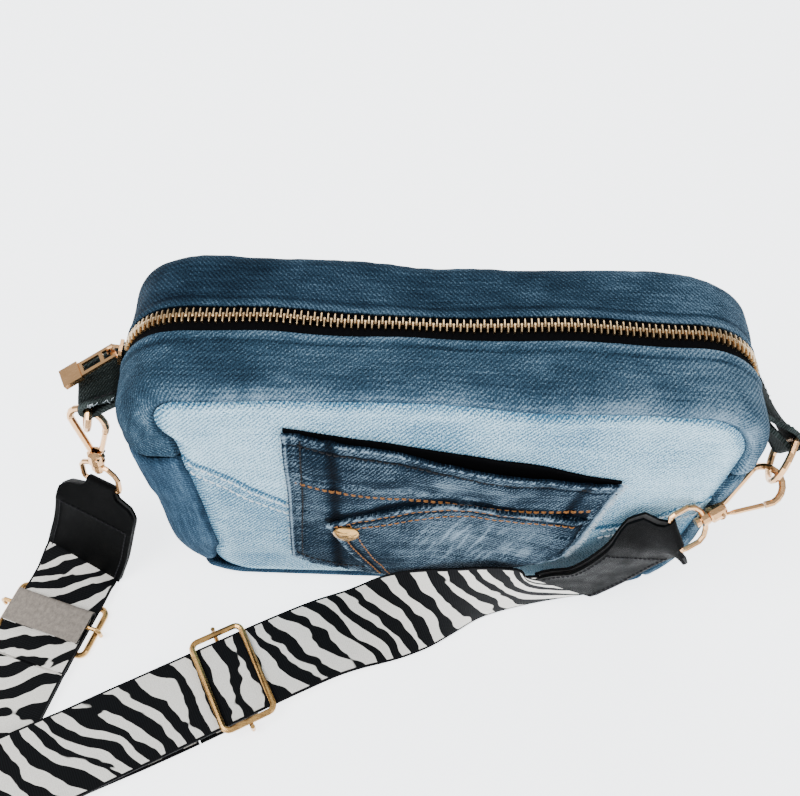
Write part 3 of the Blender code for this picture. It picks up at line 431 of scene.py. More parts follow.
STRAP_WIDTH = 38.0
PLY = 1.2
RIGHT_TOP_PLY_Z = 6.25
RIGHT_LOW_PLY_Z = 0.95
LEFT_LOW_PLY_Z = 4.05
LEFT_TOP_PLY_Z = 5.55
LEFT_ADJUSTER = np.array([-171.0, -60.0, 0.0])
RIGHT_ADJUSTER = np.array([-85.0, -86.5, 0.0])
LEFT_RUN = np.array([-0.297, -0.955, 0.0])
RIGHT_RUN = np.array([0.883, 0.469, 0.0])
LEFT_LEATHER = ((-151.0, -22.5, 38.0, 34.0), (-156.0, -26.0, 20.0, 32.0), (-160.6, -29.6, 7.6, 30.0))
RIGHT_LEATHER = (
    (93.5, -44.8, 69.5, 92.0),
    (86.5, -44.8, 56.0, 104.0),
    (76.0, -44.4, 36.5, 106.0),
    (65.2, -43.4, 23.4, 100.0),
)
DOUBLED_ROUTE = (
    (-177.8, -82.0, 4.8, 0.0), (-185.0, -105.0, 2.8, 0.0), (-192.0, -130.0, 1.75, 0.0),
    (-199.0, -155.0, 1.9, 0.0), (-205.0, -179.0, 3.0, 0.0), (-210.0, -203.0, 10.0, 25.0),
    (-217.0, -222.0, 17.0, 58.0), (-232.0, -239.0, 20.4, 86.0), (-253.0, -247.0, 20.6, 90.0),
    (-275.0, -241.0, 20.6, 90.0), (-289.0, -224.0, 20.6, 90.0), (-289.0, -205.0, 20.4, 84.0),
    (-278.0, -190.0, 18.0, 64.0), (-262.0, -178.0, 13.6, 36.0), (-243.0, -168.0, 9.4, 14.0),
    (-220.0, -156.5, 7.0, 2.0), (-195.0, -144.5, 6.1, 0.0), (-170.0, -131.6, 6.1, 0.0),
    (-147.0, -119.4, 5.6, 0.0),
)
UPPER_ROUTE = (
    (-126.0, -108.3, RIGHT_TOP_PLY_Z, 0.0),
    (-105.0, -97.1, RIGHT_TOP_PLY_Z, 0.0),
    (-85.0, -86.5, RIGHT_TOP_PLY_Z, 0.0),
    (-65.0, -75.9, RIGHT_TOP_PLY_Z, 0.0),
    (-45.0, -65.8, 5.4, 0.0),
    (-28.0, -59.5, 5.2, -4.0),
    (-12.0, -55.6, 10.2, -30.0),
    (0.0, -53.5, 15.2, -50.0),
    (12.0, -51.2, 18.1, -66.0),
    (25.0, -47.8, 19.2, -78.0),
    (38.0, -45.9, 19.8, -86.0),
    (52.0, -44.6, 20.4, -95.0),
    (63.2, -43.8, 22.0, -99.0),
)
LOWER_ROUTE = ((-128.0, -109.3, 2.6, 0.0), (-116.0, -102.9, 1.3, 0.0), (-105.2, -97.2, RIGHT_LOW_PLY_Z, 0.0))
LEFT_LEAD = ((-162.4, -31.6, 5.2, 0.0), (-166.0, -44.0, LEFT_LOW_PLY_Z, 0.0), (-171.0, -60.0, LEFT_LOW_PLY_Z, 0.0))


def step(value, low, high):
    t = np.clip((np.asarray(value, float) - low) / (high - low), 0, 1)
    return t * t * (3 - 2 * t)


def smooth(points, spacing):
    """A Catmull-Rom curve through rows of numbers, sampled evenly by its length."""
    points = np.asarray(points, float)
    ends = np.vstack([2 * points[0] - points[1], points, 2 * points[-1] - points[-2]])
    t = np.linspace(0, 1, 24, endpoint=False)[:, None]
    fine = [
        0.5 * (2 * b + (c - a) * t + (2 * a - 5 * b + 4 * c - d) * t**2 + (3 * b - a - 3 * c + d) * t**3)
        for a, b, c, d in zip(ends, ends[1:], ends[2:], ends[3:])
    ]
    fine = np.vstack(fine + [points[-1:]])
    measured = fine[:, :3]
    walked = np.concatenate([[0], np.cumsum(np.linalg.norm(np.diff(measured, axis=0), axis=1))])
    at = np.linspace(0, walked[-1], max(2, int(round(walked[-1] / spacing)) + 1))
    return np.stack([np.interp(at, walked, fine[:, k]) for k in range(points.shape[1])], axis=1)


def length_along(path):
    return np.concatenate([[0], np.cumsum(np.linalg.norm(np.diff(path, axis=0), axis=1))])


def band_frames(route):
    """Sides and face normals of a flat band from its rows of x, y, z and twist."""
    tangents = np.gradient(route[:, :3], axis=0)
    tangents /= np.linalg.norm(tangents, axis=1)[:, None]
    level = np.stack([tangents[:, 1], -tangents[:, 0], np.zeros(len(route))], axis=1)
    level /= np.linalg.norm(level, axis=1)[:, None]
    rise = np.cross(level, tangents)
    twist = np.radians(route[:, 3])[:, None]
    sides = np.cos(twist) * level + np.sin(twist) * rise
    return sides, np.cross(sides, tangents)


def band(name, path, sides, normals, half, body, replaced, start=0.0, face="zebra", back="suede"):
    """A webbing: its face on the side of the normals, its backing behind."""
    across = np.linspace(-1, 1, 13)
    edge = 0.22 * np.abs(across) ** 12
    spread = np.asarray(half)[:, None, None] if np.ndim(half) else half
    grid = path[:, None] + sides[:, None] * across[None, :, None] * spread
    grid = grid + normals[:, None] * (PLY / 2 - edge)[None, :, None]
    walked = start + length_along(path)
    uv = np.stack(np.broadcast_arrays(walked[:, None], (across * STRAP_WIDTH / 2)[None, :]), axis=-1)
    thick = PLY - 0.1
    return cloth(name, grid, uv, thick, PAINT[face], body, replaced, flip=True, inside=PAINT[back])


def leather_side(route):
    """The last cross-section's direction of a leather end."""
    return band_frames(smooth(route, 6.0))[0][-1]


def turned_start(sides, path, side, reach):
    """A webbing's cross-sections, turned near its start to the side of the leather it is sewn into."""
    share = step(1 - length_along(path) / reach, 0, 1)[:, None]
    turned = side * math.copysign(1.0, np.dot(side, sides[0])) * share + sides * (1 - share)
    return turned / np.linalg.norm(turned, axis=1)[:, None]


def add_straps():
    pair = smooth(DOUBLED_ROUTE, 3.0)
    count = len(pair)
    lead = smooth(LEFT_LEAD, 3.0)
    between = smooth([LEFT_LEAD[-1], (-176.0, -76.0, LEFT_LOW_PLY_Z, 0.0), (-177.8, -82.0, LEFT_LOW_PLY_Z, 0.0)], 3.0)
    tail = smooth(LOWER_ROUTE, 3.0)
    rows = np.vstack([lead[:-1], between[:-1], pair, tail[1:]])
    first = len(lead) + len(between) - 2
    pieces = {}
    for name, rows, first, shift, start in (
        ("webbing_left", rows, first, -0.72, 130.0),
        ("webbing_right", np.vstack([pair, smooth(UPPER_ROUTE, 3.0)]), 0, 0.72, 0.0),
    ):
        sides, normals = band_frames(rows)
        path = rows[:, :3].copy()
        if name == "webbing_right":
            sides = turned_start(sides[::-1], path[::-1], leather_side(RIGHT_LEATHER), 27.0)[::-1]
        else:
            sides = turned_start(sides, path, leather_side(LEFT_LEATHER), 9.0)
        eased = np.zeros(len(rows))
        eased[first:first + count] = 1.0
        kernel = np.ones(5) / 5
        eased = np.convolve(np.pad(eased, 2, mode="edge"), kernel, mode="valid")
        path += normals * (eased * shift)[:, None]
        path[:, 2] = np.maximum(path[:, 2], 0.75)
        node = "strap_left" if name == "webbing_left" else "strap_right"
        obj = band(name, path, sides, normals, STRAP_WIDTH / 2, "bag", (node,), start)
        pieces[name] = (obj, path)
    return pieces


def add_strap_end(name, node, body, adjuster, run, ply_z, reach, start):
    """A webbing's sewn end, round the adjuster's bar and back on top of itself."""
    side = np.array([run[1], -run[0], 0.0])
    fold = 3.5
    rows = [(u, 0.0) for u in np.linspace(-22.3, reach, 12)]
    rows += [(reach + fold / 2 * math.sin(t), fold / 2 * (1 - math.cos(t))) for t in np.linspace(0.35, 2.8, 9)]
    rows += [(u, fold) for u in np.linspace(reach, -9.0, 8)]
    path = np.array([adjuster + u * run + np.array([0.0, 0.0, ply_z + h]) for u, h in rows])
    tangents = np.gradient(path, axis=0)
    tangents /= np.linalg.norm(tangents, axis=1)[:, None]
    sides = np.tile(side, (len(path), 1))
    return band(name, path, sides, np.cross(sides, tangents), STRAP_WIDTH / 2, body, (node,), start)


PIVOTS = {
    "left": ((-146.586, -15.880, 50.820), (0.90290442, -0.42970505, 0.01082468)),
    "right": ((98.821, -45.854, 78.079), (-0.41, 0.23, 0.88)),
}
NODES = frame["nodes"]


def add_leather(side_name, route):
    """A leather end folded round the swivel ring's bar, with the webbing sewn between its plies."""
    bar, across = (np.array(v) for v in PIVOTS[side_name])
    if side_name == "right":
        along = unit((0.86, 0.44, 0.255))
        across = unit(np.array((-0.8, 0.1, 0.6)) - np.dot((-0.8, 0.1, 0.6), along) * along)
    body = smooth(route, 2.0)
    sides, _ = band_frames(body)
    past = body[-1] + (body[-1] - body[-2]) * np.array([[1.0], [2.0]])
    body = np.vstack([body, past])
    sides = np.vstack([sides, sides[-1:], sides[-1:]])
    across = across * math.copysign(1.0, np.dot(across, sides[0]))
    centre = np.vstack([smooth([bar, *body[:3:2, :3]], 2.0)[:-1], body[2:, :3]])
    walked = length_along(centre)
    own = np.array([[np.interp(w, walked[-len(sides):], sides[:, k]) for k in range(3)] for w in walked])
    ease = np.clip(walked / 16.0, 0, 1)[:, None]
    own = across * (1 - ease) + own * ease
    own /= np.linalg.norm(own, axis=1)[:, None]
    tangents = np.gradient(centre, axis=0)
    tangents /= np.linalg.norm(tangents, axis=1)[:, None]
    normals = np.cross(own, tangents)
    normals /= np.linalg.norm(normals, axis=1)[:, None]
    off = np.interp(walked, (0, 5, 12), (2.1, 2.1, 1.75))[:, None]
    half = np.interp(walked, (0, 3.4, 6.0, 10.0), (7.2, 7.6, 16.5, 19.5))
    front = (centre + normals * off)[::-1]
    back = centre - normals * off
    turn = np.linspace(math.pi / 2, -math.pi / 2, 11)[1:-1]
    loop = [bar + 2.1 * (math.sin(t) * normals[0] - math.cos(t) * tangents[0]) for t in turn]
    path = np.vstack([front, loop, back])
    wide = np.concatenate([half[::-1], np.full(len(loop), half[0]), half])
    side = np.vstack([own[::-1], np.tile(own[0], (len(loop), 1)), own])
    v = np.linspace(-1, 1, 13)
    grid = path[:, None] + side[:, None] * (v[None, :, None] * wide[:, None, None])
    run = length_along(path)
    uv = np.stack([np.broadcast_to(run[:, None], grid.shape[:2]), v[None] * wide[:, None]], axis=-1)
    obj = cloth(
        f"leather_end_{side_name}", grid, uv, 1.3, PAINT["leather"], "bag", (f"{side_name}_strap_leather",),
        flip=False, inside=PAINT["underside"],
    )
    surface = front[::-1] + normals * 0.12
    n = len(surface)
    for tag, sign in (("near", 1), ("far", -1)):
        seam = surface + own * (half - 2.6)[:, None] * sign
        keep = slice(int(n * 0.34), n)
        stitches(f"leather_stitch_{side_name}_{tag}", seam[keep], normals[keep], PAINT["dark_stitch"], "bag", 2.6, 1.9, 0.3)
    k = int(n * 0.36)
    row = np.array([surface[k] + own[k] * w for w in np.linspace(-half[k] + 2.6, half[k] - 2.6, 12)])
    out = np.tile(normals[k], (12, 1))
    stitches(f"leather_stitch_{side_name}_row", row, out, PAINT["dark_stitch"], "bag", 2.6, 1.9, 0.3)
    return obj


strap = add_straps()
tail_right = add_strap_end(
    "webbing_right_tail", "strap_right_end", "left_adjuster", LEFT_ADJUSTER, -LEFT_RUN, LEFT_TOP_PLY_Z, 5.0, -60.0
)
tail_left = add_strap_end(
    "webbing_left_tail", "strap_left_end", "right_adjuster", RIGHT_ADJUSTER, RIGHT_RUN, RIGHT_LOW_PLY_Z, 2.0, 400.0
)
for key, tail, adjuster in (("webbing_left", tail_left, "right"), ("webbing_right", tail_right, "left")):
    obj, path = strap[key]
add_leather("left", LEFT_LEATHER)
add_leather("right", RIGHT_LEATHER)

# ---------------------------------------------------------------- the bag's skin

WIDTH, DEPTH, HEIGHT = 250.0, 70.0, 152.0
CORNER = 32.0
HALF_TOP = WIDTH / 2 - CORNER
ARC = math.pi * CORNER / 2
SIDE_RUN = HEIGHT - 2 * CORNER
HALF_ROUND = 2 * HALF_TOP + 2 * ARC + SIDE_RUN
ZIP_REACH = HALF_TOP + ARC + HEIGHT - CORNER - 107.0
BASE_START = HALF_TOP + 1.5 * ARC + SIDE_RUN


def hill(value, middle, width):
    return np.exp(-(((np.asarray(value, float) - middle) / width) ** 2))


def outline(s, inset):
    """x and z at a distance s round the outline from the top's middle, a little inside it."""
    s = np.asarray(s, float)
    far = np.abs(s)
    side = np.where(s >= 0, 1.0, -1.0)
    over = far > HALF_ROUND
    far = np.where(over, 2 * HALF_ROUND - far, far)
    side = np.where(over, -side, side)
    r = CORNER - inset
    t1 = (far - HALF_TOP) / CORNER
    t2 = (far - HALF_TOP - ARC - SIDE_RUN) / CORNER
    where = [far <= HALF_TOP, far <= HALF_TOP + ARC, far <= HALF_TOP + ARC + SIDE_RUN, far <= HALF_ROUND - HALF_TOP]
    xs = [far, HALF_TOP + r * np.sin(t1), WIDTH / 2 - inset + 0 * far, HALF_TOP + r * np.cos(t2)]
    zs = [HEIGHT - inset + 0 * far, HEIGHT - CORNER + r * np.cos(t1), HEIGHT - CORNER - (far - HALF_TOP - ARC)]
    zs.append(CORNER - r * np.sin(t2))
    x = np.select(where, xs, HALF_ROUND - far)
    z = np.select(where, zs, inset + 0 * far)
    low = np.maximum(0.0, 1.0 - z / 120.0)
    return side * x * (1.0 - 0.10 * low**1.2), z


def front_inset(s):
    """How far in from the outline the front panel's seam runs."""
    left = step(-s, 98, 150) * (1 - step(-s, 225, 285))
    right = step(s, 95, 150) * (1 - step(s, 225, 285))
    return 7.5 + 16.5 * left + 3.5 * right


def back_inset(s):
    return 10.0 + 0.0 * np.asarray(s, float)


def skin(s, reach, side, inset_of):
    """A point on the gusset: reach from the centre line, side -1 to the front or 1 to the back."""
    inset_full = inset_of(s)
    r = np.minimum(13.0, inset_full)
    flat = DEPTH / 2 - r
    turn = np.clip((reach - flat) / r, 0, math.pi / 2)
    past = np.maximum(reach - flat - r * math.pi / 2, 0)
    x, z = outline(s, r * (1 - np.cos(turn)) + past)
    y = np.minimum(reach, flat) + r * np.sin(turn)
    return np.stack([x, side * y, z], axis=-1)


def reach_of(s, inset_of):
    inset = inset_of(s)
    r = np.minimum(13.0, inset)
    return DEPTH / 2 - r + r * math.pi / 2 + inset - r


ANCHORS = np.array([(-126.0, -2.0, 126.0), (-127.0, -3.0, 116.0), (127.0, 0.0, 118.0), (0.0, -35.0, 0.0)])


def soften(points):
    """The bag's slack: every cloth, stitch and tooth on it moves by the same slow waves."""
    points = np.asarray(points, float)
    near = np.min(np.linalg.norm(points[..., None, :] - ANCHORS, axis=-1), axis=-1)
    hold = step(near, 4.0, 40.0) * step(points[..., 2], 4.0, 45.0)
    moved = points.copy()
    moved[..., 0] += 1.4 * hold * ripple(points, 60.0, 11.0)
    moved[..., 1] += 3.0 * hold * ripple(points, 46.0, 37.3)
    moved[..., 2] += 2.6 * hold * ripple(points, 52.0, 59.1)
    return moved


def relief(grid, height, flip=False):
    """The grid moved out along its own normals."""
    return grid + normals_of(grid) * (np.asarray(height) * (-1 if flip else 1))[..., None]


def add_zip_gusset(name, node, side, start, inset_of, paint):
    s = np.linspace(-ZIP_REACH, ZIP_REACH, 300)[:, None]
    w = np.linspace(0, 1, 46)[None, :]
    reach = start + (reach_of(s, inset_of) - start) * w
    s = np.broadcast_to(s, reach.shape)
    grid = soften(skin(s, reach, side, inset_of))
    to_zip = reach - start
    to_seam = reach_of(s, inset_of) - reach
    to_end = ZIP_REACH - np.abs(s)
    pucker = ripple(np.stack([s, 0.3 * reach, 0 * s], axis=-1), 5.0, 3.0 + side)
    broad = ripple(grid, 24.0, 21.0) * 0.9 + ripple(grid, 10.0, 5.0) * 0.3
    height = broad * step(to_zip, 2, 14) * step(to_seam, 0, 8)
    height += 0.55 * hill(to_zip, 1.6, 1.6) + pucker * (0.28 * hill(to_zip, 3, 4) + 0.5 * hill(to_seam, 4, 5))
    height -= 1.8 * hill(to_seam, 0, 1.7) + 1.4 * hill(to_end, 0, 1.6) - 0.5 * hill(to_end, 4, 2)
    shade = 0.55 * hill(to_seam, 0, 1.6) + 0.4 * hill(to_zip, 4.6, 0.8) + 0.5 * hill(to_end, 0, 1.5)
    wear = 0.28 * hill(to_zip, 1.2, 1.3) + 0.42 * hill(to_seam, 3.5, 4.5) + 0.25 * pucker * hill(to_seam, 5, 4)
    depth = 0.75 if side < 0 else 1.0
    wear = wear + depth * (0.34 * step(s, 10, 120) - 0.24 - 0.22 * step(-s, 20, 120))
    uv = np.stack([s, reach], axis=-1)
    grid = relief(grid, height, flip=side < 0)
    fields = {"wear": wear, "shade": shade}
    cloth(name, grid, uv, 1.5, PAINT[paint], "bag", (node,), flip=side < 0, fields=fields)
    return grid


def add_wall(name, node, s0, s1, paint, seed):
    """A side or base gusset, from the front panel's seam to the back panel's."""
    count = int(abs(s1 - s0) / 1.6)
    s = np.linspace(s0, s1, count)[:, None]
    w = np.linspace(-1, 1, 70)[None, :]
    reach = np.abs(w) * np.where(w < 0, reach_of(s, front_inset), reach_of(s, back_inset))
    s = np.broadcast_to(s, reach.shape)
    ahead = skin(s, reach, -1.0, front_inset)
    behind = skin(s, reach, 1.0, back_inset)
    grid = soften(np.where((w < 0)[..., None], ahead, behind))
    seam = np.where(w < 0, reach_of(s, front_inset), reach_of(s, back_inset)) - reach
    end = np.minimum(np.abs(s - s0), np.abs(s - s1))
    wrinkle = ripple(grid, 26.0, seed) * 1.1 + ripple(grid, 9.0, seed + 4) * 0.3
    height = wrinkle * step(seam, 0, 9) * step(end, 0, 9) * step(grid[..., 2], 1, 12)
    height -= 1.5 * hill(seam, 0, 1.7) + 1.2 * hill(end, 0, 1.5)
    pucker = ripple(grid, 5.0, seed + 9)
    wear = 0.2 * hill(seam, 4, 2.2) + 0.2 * pucker * hill(seam, 4, 5)
    shade = 0.5 * hill(seam, 0, 1.6) + 0.5 * hill(end, 0, 1.6)
    signed = reach * np.sign(w)
    uv = np.stack([s, signed], axis=-1)
    flip = False
    grid = relief(grid, height, flip)
    grid[..., 2] = np.maximum(grid[..., 2], 0.02)
    cloth(name, grid, uv, 1.5, PAINT[paint], "bag", (node,), flip=flip, fields={"wear": wear, "shade": shade})


SEAM_X = (-130.0, -101.0, -88.0, -75.0, -56.0, 0.0, 65.0, 78.0, 90.0, 103.0, 130.0)
SEAM_Z = (118.0, 108.0, 96.0, 86.0, 76.0, 70.0, 70.0, 72.0, 77.0, 86.0, 98.0)


def face_y(x, z, edge):
    """The front panel's surface, edge being the distance to its seam."""
    x = np.asarray(x, float)
    z = np.asarray(z, float)
    flat = np.stack([x, 0 * x, z], axis=-1)
    over = z - np.interp(x, SEAM_X, SEAM_Z)
    puff = 3.2 * step(edge, 0, 45) + ripple(flat, 34.0, 71.0) * 1.3 * step(edge, 3, 20)
    puff = puff + 0.35 * ripple(flat, 11.0, 15.0) * step(edge, 2, 8)
    lap = 0.75 * step(over, 0.5, -0.3) * (1 - step(-over, 8.5, 10.5)) * (np.abs(x) > 50)
    pucker = ripple(flat, 4.0, 33.0)
    lap = lap * (1 + 0.35 * pucker)
    return -(DEPTH / 2 + puff + lap) + 1.7 * hill(edge, 0, 2.0)


def add_panel(name, nodes, side, inset_of, paint):
    """A front or back panel as rings shrinking from its seam to its middle."""
    s = np.linspace(-HALF_ROUND, HALF_ROUND, 520, endpoint=False)
    bx, bz = outline(s, inset_of(s))
    cx, cz = 4.0, 76.0
    r = 1 - np.linspace(0, 1, 84) ** 1.15 * 0.9985
    x = cx + (bx[:, None] - cx) * r
    z = cz + (bz[:, None] - cz) * r
    reach = np.hypot(bx - cx, bz - cz)[:, None]
    edge = (1 - r)[None, :] * reach * 0.8
    y = face_y(x, z, edge)
    if side > 0:
        flat = np.stack([x, 0 * x, z], axis=-1)
        y = DEPTH / 2 + 3.0 * step(edge, 0, 45) + 1.6 * ripple(flat, 40.0, 91.0) * step(edge, 3, 20)
        y = y - 1.7 * hill(edge, 0, 2.0)
    grid = soften(np.stack([x, y, z], axis=-1))
    grid[..., 2] = np.maximum(grid[..., 2], 0.3)
    flat = np.stack([x, 0 * x, z], axis=-1)
    pucker = ripple(flat, 4.5, 8.0)
    shade = 0.55 * hill(edge, 0, 1.8)
    wear = 0.22 * hill(edge, 5, 2.5) * (1 + pucker)
    if side < 0:
        over = z - np.interp(x, SEAM_X, SEAM_Z)
        visible = (np.abs(x) > 50).astype(float)
        whitish = step(-x, 38, 62) * step(over, -0.5, 0.5) * step(-z, -150, -118)
        wear = wear + 0.45 * whitish - 0.12 * (x < -50) * step(-over, 0, 0.8) + 0.3 * step(x, 50, 90) + 0.06 + 0.45 * step(-over, 0, 0.6) * (1 - step(-over, 9, 10)) * pucker * visible
        wear = wear + 0.3 * hill(over, -0.4, 0.7) * visible
        shade = shade + 1.6 * hill(over, 0.5, 0.8) * visible + 0.8 * hill(over, -9.8, 0.7) * visible
        shade = shade + 0.9 * step(x, 92, 108) * step(-z, -84, -70)
    uv = np.stack([x, z], axis=-1)
    fields = {"wear": wear, "shade": shade}
    cloth(name, grid, uv, 1.5, PAINT[paint], "bag", nodes, flip=side < 0, fields=fields, wrap=True)


add_zip_gusset("denim_zip_front", "zip_gusset_front", -1, 7.2, front_inset, "gusset")
add_zip_gusset("denim_zip_back", "zip_gusset_back", 1, 4.3, back_inset, "back")
add_wall("denim_side_left", "left_side_gusset", -BASE_START + 0.3, -ZIP_REACH - 0.3, "side", 12.0)
add_wall("denim_side_right", "right_side_gusset", ZIP_REACH + 0.3, BASE_START - 0.3, "gusset", 47.0)
add_wall("denim_base", "base_gusset", BASE_START, 2 * HALF_ROUND - BASE_START, "side", 83.0)
add_panel("denim_front", ("front_panel_upper", "front_panel_lower"), -1, front_inset, "pale")
add_panel("denim_back", ("back_panel",), 1, back_inset, "side")

# ---------------------------------------------------------------- front pocket

TOP_X, TOP_Z = np.array([-60.0, -30.0, -1.0, 36.0, 72.0]), np.array([130.0, 124.4, 118.6, 112.6, 107.0])
BASE_X = np.array([-61.0, -52.0, -40.0, -26.0, -13.0, 0.0, 12.0, 24.0, 36.0, 47.0, 58.0])
BASE_Z = np.array([36.0, 26.5, 19.0, 14.0, 11.0, 13.0, 17.0, 23.0, 29.0, 38.0, 48.0])
COIN_X, COIN_Z = np.array([-45.0, -33.0, -19.0, -5.0, 11.0, 36.0, 62.0]), np.array([68.0, 74.0, 80.0, 84.0, 87.0, 86.0, 83.0])
COIN_BASE_X, COIN_BASE_Z = np.array([-24.0, -12.0, 12.0, 36.0, 56.0]), np.array([17.0, 14.0, 20.0, 32.0, 50.0])
POCKET_FACE = 2.0
COIN_PLY = 1.6


def on_front(x, z, lift):
    """Points on the front panel's surface, lifted off it."""
    s = np.linspace(-HALF_ROUND, HALF_ROUND, 520, endpoint=False)
    bx, bz = outline(s, front_inset(s))
    angle = np.arctan2(bz - 76.0, bx - 4.0)
    order = np.argsort(angle)
    reach = np.hypot(bx - 4.0, bz - 76.0)
    x = np.asarray(x, float)
    z = np.asarray(z, float)
    here = np.interp(np.arctan2(z - 76.0, x - 4.0), angle[order], reach[order], period=2 * math.pi)
    edge = (here - np.hypot(x - 4.0, z - 76.0)) * 0.8
    return soften(np.stack([x, face_y(x, z, edge) - lift, z], axis=-1))


def flat_points(x, z):
    return np.stack([x, 0 * x, z], axis=-1)


def pocket_lift(x, z):
    """How far the pocket's face stands off the panel: the mouth gapes and the cloth is slack."""
    below = np.interp(x, TOP_X, TOP_Z) - z
    right = 58 + (z - 48) * 14 / 59 - x
    inner = np.minimum(np.minimum(x + 60.5, right), z - np.interp(x, BASE_X, BASE_Z))
    gape = (0.8 + 2.6 * hill(x, 22, 30)) * step(-below, -34, 0) * step(inner, 0, 16)
    slack = 0.9 * ripple(flat_points(x, z), 17.0, 5.0) + 0.45 * ripple(flat_points(x, z), 6.5, 9.0)
    return POCKET_FACE + gape + slack * step(inner, 0, 9)


def patch_grid(top, base, columns, rows):
    """x and z of a patch between two lines, with u along them and v from top to base."""
    ends = []
    for line_x, line_z in (top, base):
        curve = smooth(np.stack([line_x, line_z, 0 * line_x], axis=1), 1.0)[:, :2]
        at = np.linspace(0, 1, len(curve))
        ends.append([np.interp(np.linspace(0, 1, columns), at, curve[:, k]) for k in (0, 1)])
    v = np.linspace(0, 1, rows)[None, :]
    x = ends[0][0][:, None] * (1 - v) + ends[1][0][:, None] * v
    z = ends[0][1][:, None] * (1 - v) + ends[1][1][:, None] * v
    return x, z


def dashes(along, across, pitch, seed):
    """Abrasion in short dashes along a ridge, from 0 to 1."""
    return step(ripple(np.stack([along / pitch, across / 3.0, 0 * along], axis=-1), 1.0, seed), -0.25, 0.25)


def add_pocket():
    x, z = patch_grid((TOP_X, TOP_Z), (BASE_X, BASE_Z), 190, 150)
    top = np.hypot(x - x[:, :1], z - z[:, :1])
    base = np.hypot(x - x[:, -1:], z - z[:, -1:])
    left = x - x[:1, :]
    right = x[-1:, :] - x
    flat = flat_points(x, z)
    pucker = ripple(flat, 3.4, 40.0)
    height = 0.75 * hill(top, 1.6, 1.7) - 0.55 * hill(top, 6.6, 0.9) + 0.35 * hill(top, 4.2, 1.6) * (1 + pucker)
    height += 0.7 * hill(left, 1.3, 1.2) - 0.5 * hill(left, 6.4, 0.9) + 0.6 * hill(left, 4, 2.4) * pucker
    height += 0.55 * hill(base, 1.4, 1.3) - 0.35 * hill(base, 6.5, 0.9) + 0.3 * hill(base, 4, 2) * pucker
    height += 0.5 * hill(right, 3.2, 1.6) - 0.9 * hill(x, -42 + (130 - z) * 0.02, 2.2) - 0.7 * hill(right, 14, 2.0)
    height += 0.3 * hill(top, 27, 3.0) * ripple(flat, 4.0, 52.0) - 0.5 * hill(top, 26, 0.8)
    coin_top = np.interp(x, COIN_X, COIN_Z, left=0.0, right=0.0)
    wear = 1.0 * hill(top, 1.5, 0.6) * dashes(x, top, 1.7, 2.0) + 0.25 * hill(top, 4.2, 1.6) * dashes(x, top, 1.6, 8.0)
    wear += 1.1 * hill(left, 1.1, 0.5) + 0.35 * hill(left, 4.2, 1.5) * dashes(z, left, 1.2, 6.0)
    wear += 1.2 * hill(right, 0.2, 0.9) + 0.3 * hill(right, 4.5, 2.0) * dashes(z, right, 1.4, 3.0)
    wear += 0.7 * hill(base, 1.3, 1.2) * dashes(x, base, 3.0, 9.0)
    wear += 0.40 * hill(top, 24.5, 1.3) * dashes(x, top, 2.4, 12.0) + 0.35 * hill(top, 28, 1.6) * dashes(x, top, 2.0, 14.0)
    wear += 0.4 * hill(x, 12, 42) * hill(z, 96, 26) * step(ripple(flat, 9.0, 17.0), -0.3, 0.5)
    shade = 0.75 * hill(x, -42 + (130 - z) * 0.02, 2.3) + 0.6 * hill(right, 14, 2.2) + 0.5 * hill(top, 6.6, 0.9)
    shade += 0.9 * hill(z - coin_top, 1.6, 1.8) * (coin_top > 0) + 0.4 * hill(top, 0, 0.5)
    lift = pocket_lift(x, z) + height
    grid = on_front(x, z, lift)
    uv = np.stack([x, z], axis=-1)
    fields = {"wear": wear - 0.08, "shade": shade}
    cloth("denim_pocket", grid, uv, 1.3, PAINT["pocket"], "bag", ("pocket_panel",), flip=True, fields=fields)
    out = np.tile((0.0, -1.0, 0.1), (190, 1))
    row = int(150 * 26 / 85)
    line = np.stack([x[:, row], z[:, row]], axis=1)
    for tag, drop in (("a", 0.0), ("b", 0.9)):
        seam = on_front(line[:, 0], line[:, 1] - drop, pocket_lift(line[:, 0], line[:, 1] - drop) - 0.1)
        stitches(f"stitch_pocket_{tag}", seam[4:-6], out[4:-6], PAINT["stitch"], "bag", 3.0, 2.2, 0.24)
    for tag, k in (("top", np.argmin(np.abs(top[90] - 6.6))), ("low", np.argmin(np.abs(base[90] - 6.5)))):
        seam = on_front(x[:, k], z[:, k], pocket_lift(x[:, k], z[:, k]) - 0.15)
        stitches(f"stitch_hem_{tag}", seam[4:-9], out[4:-9], PAINT["dark_stitch"], "bag", 2.8, 2.1, 0.36)
    k = np.argmin(np.abs(left[:, 60] - 6.4))
    seam = on_front(x[k], z[k], pocket_lift(x[k], z[k]) - 0.1)
    stitches("stitch_pocket_left", seam[4:-4], out[:142], PAINT["dark_stitch"], "bag", 2.8, 2.1, 0.36)
    ways = np.tile((0.95, -0.25, -0.1), (150, 1))
    edge = on_front(x[-1], z[-1], POCKET_FACE - 0.4)
    fringe("fray_pocket_right", edge, ways, np.tile((0.0, -1.0, 0.0), (150, 1)), PAINT["fray"], "bag", 330, 2.6, 5)
    edge = on_front(x[0], z[0], POCKET_FACE - 0.3)
    fringe("fray_pocket_left", edge, -ways, np.tile((0.0, -1.0, 0.0), (150, 1)), PAINT["fray"], "bag", 90, 1.2, 6)


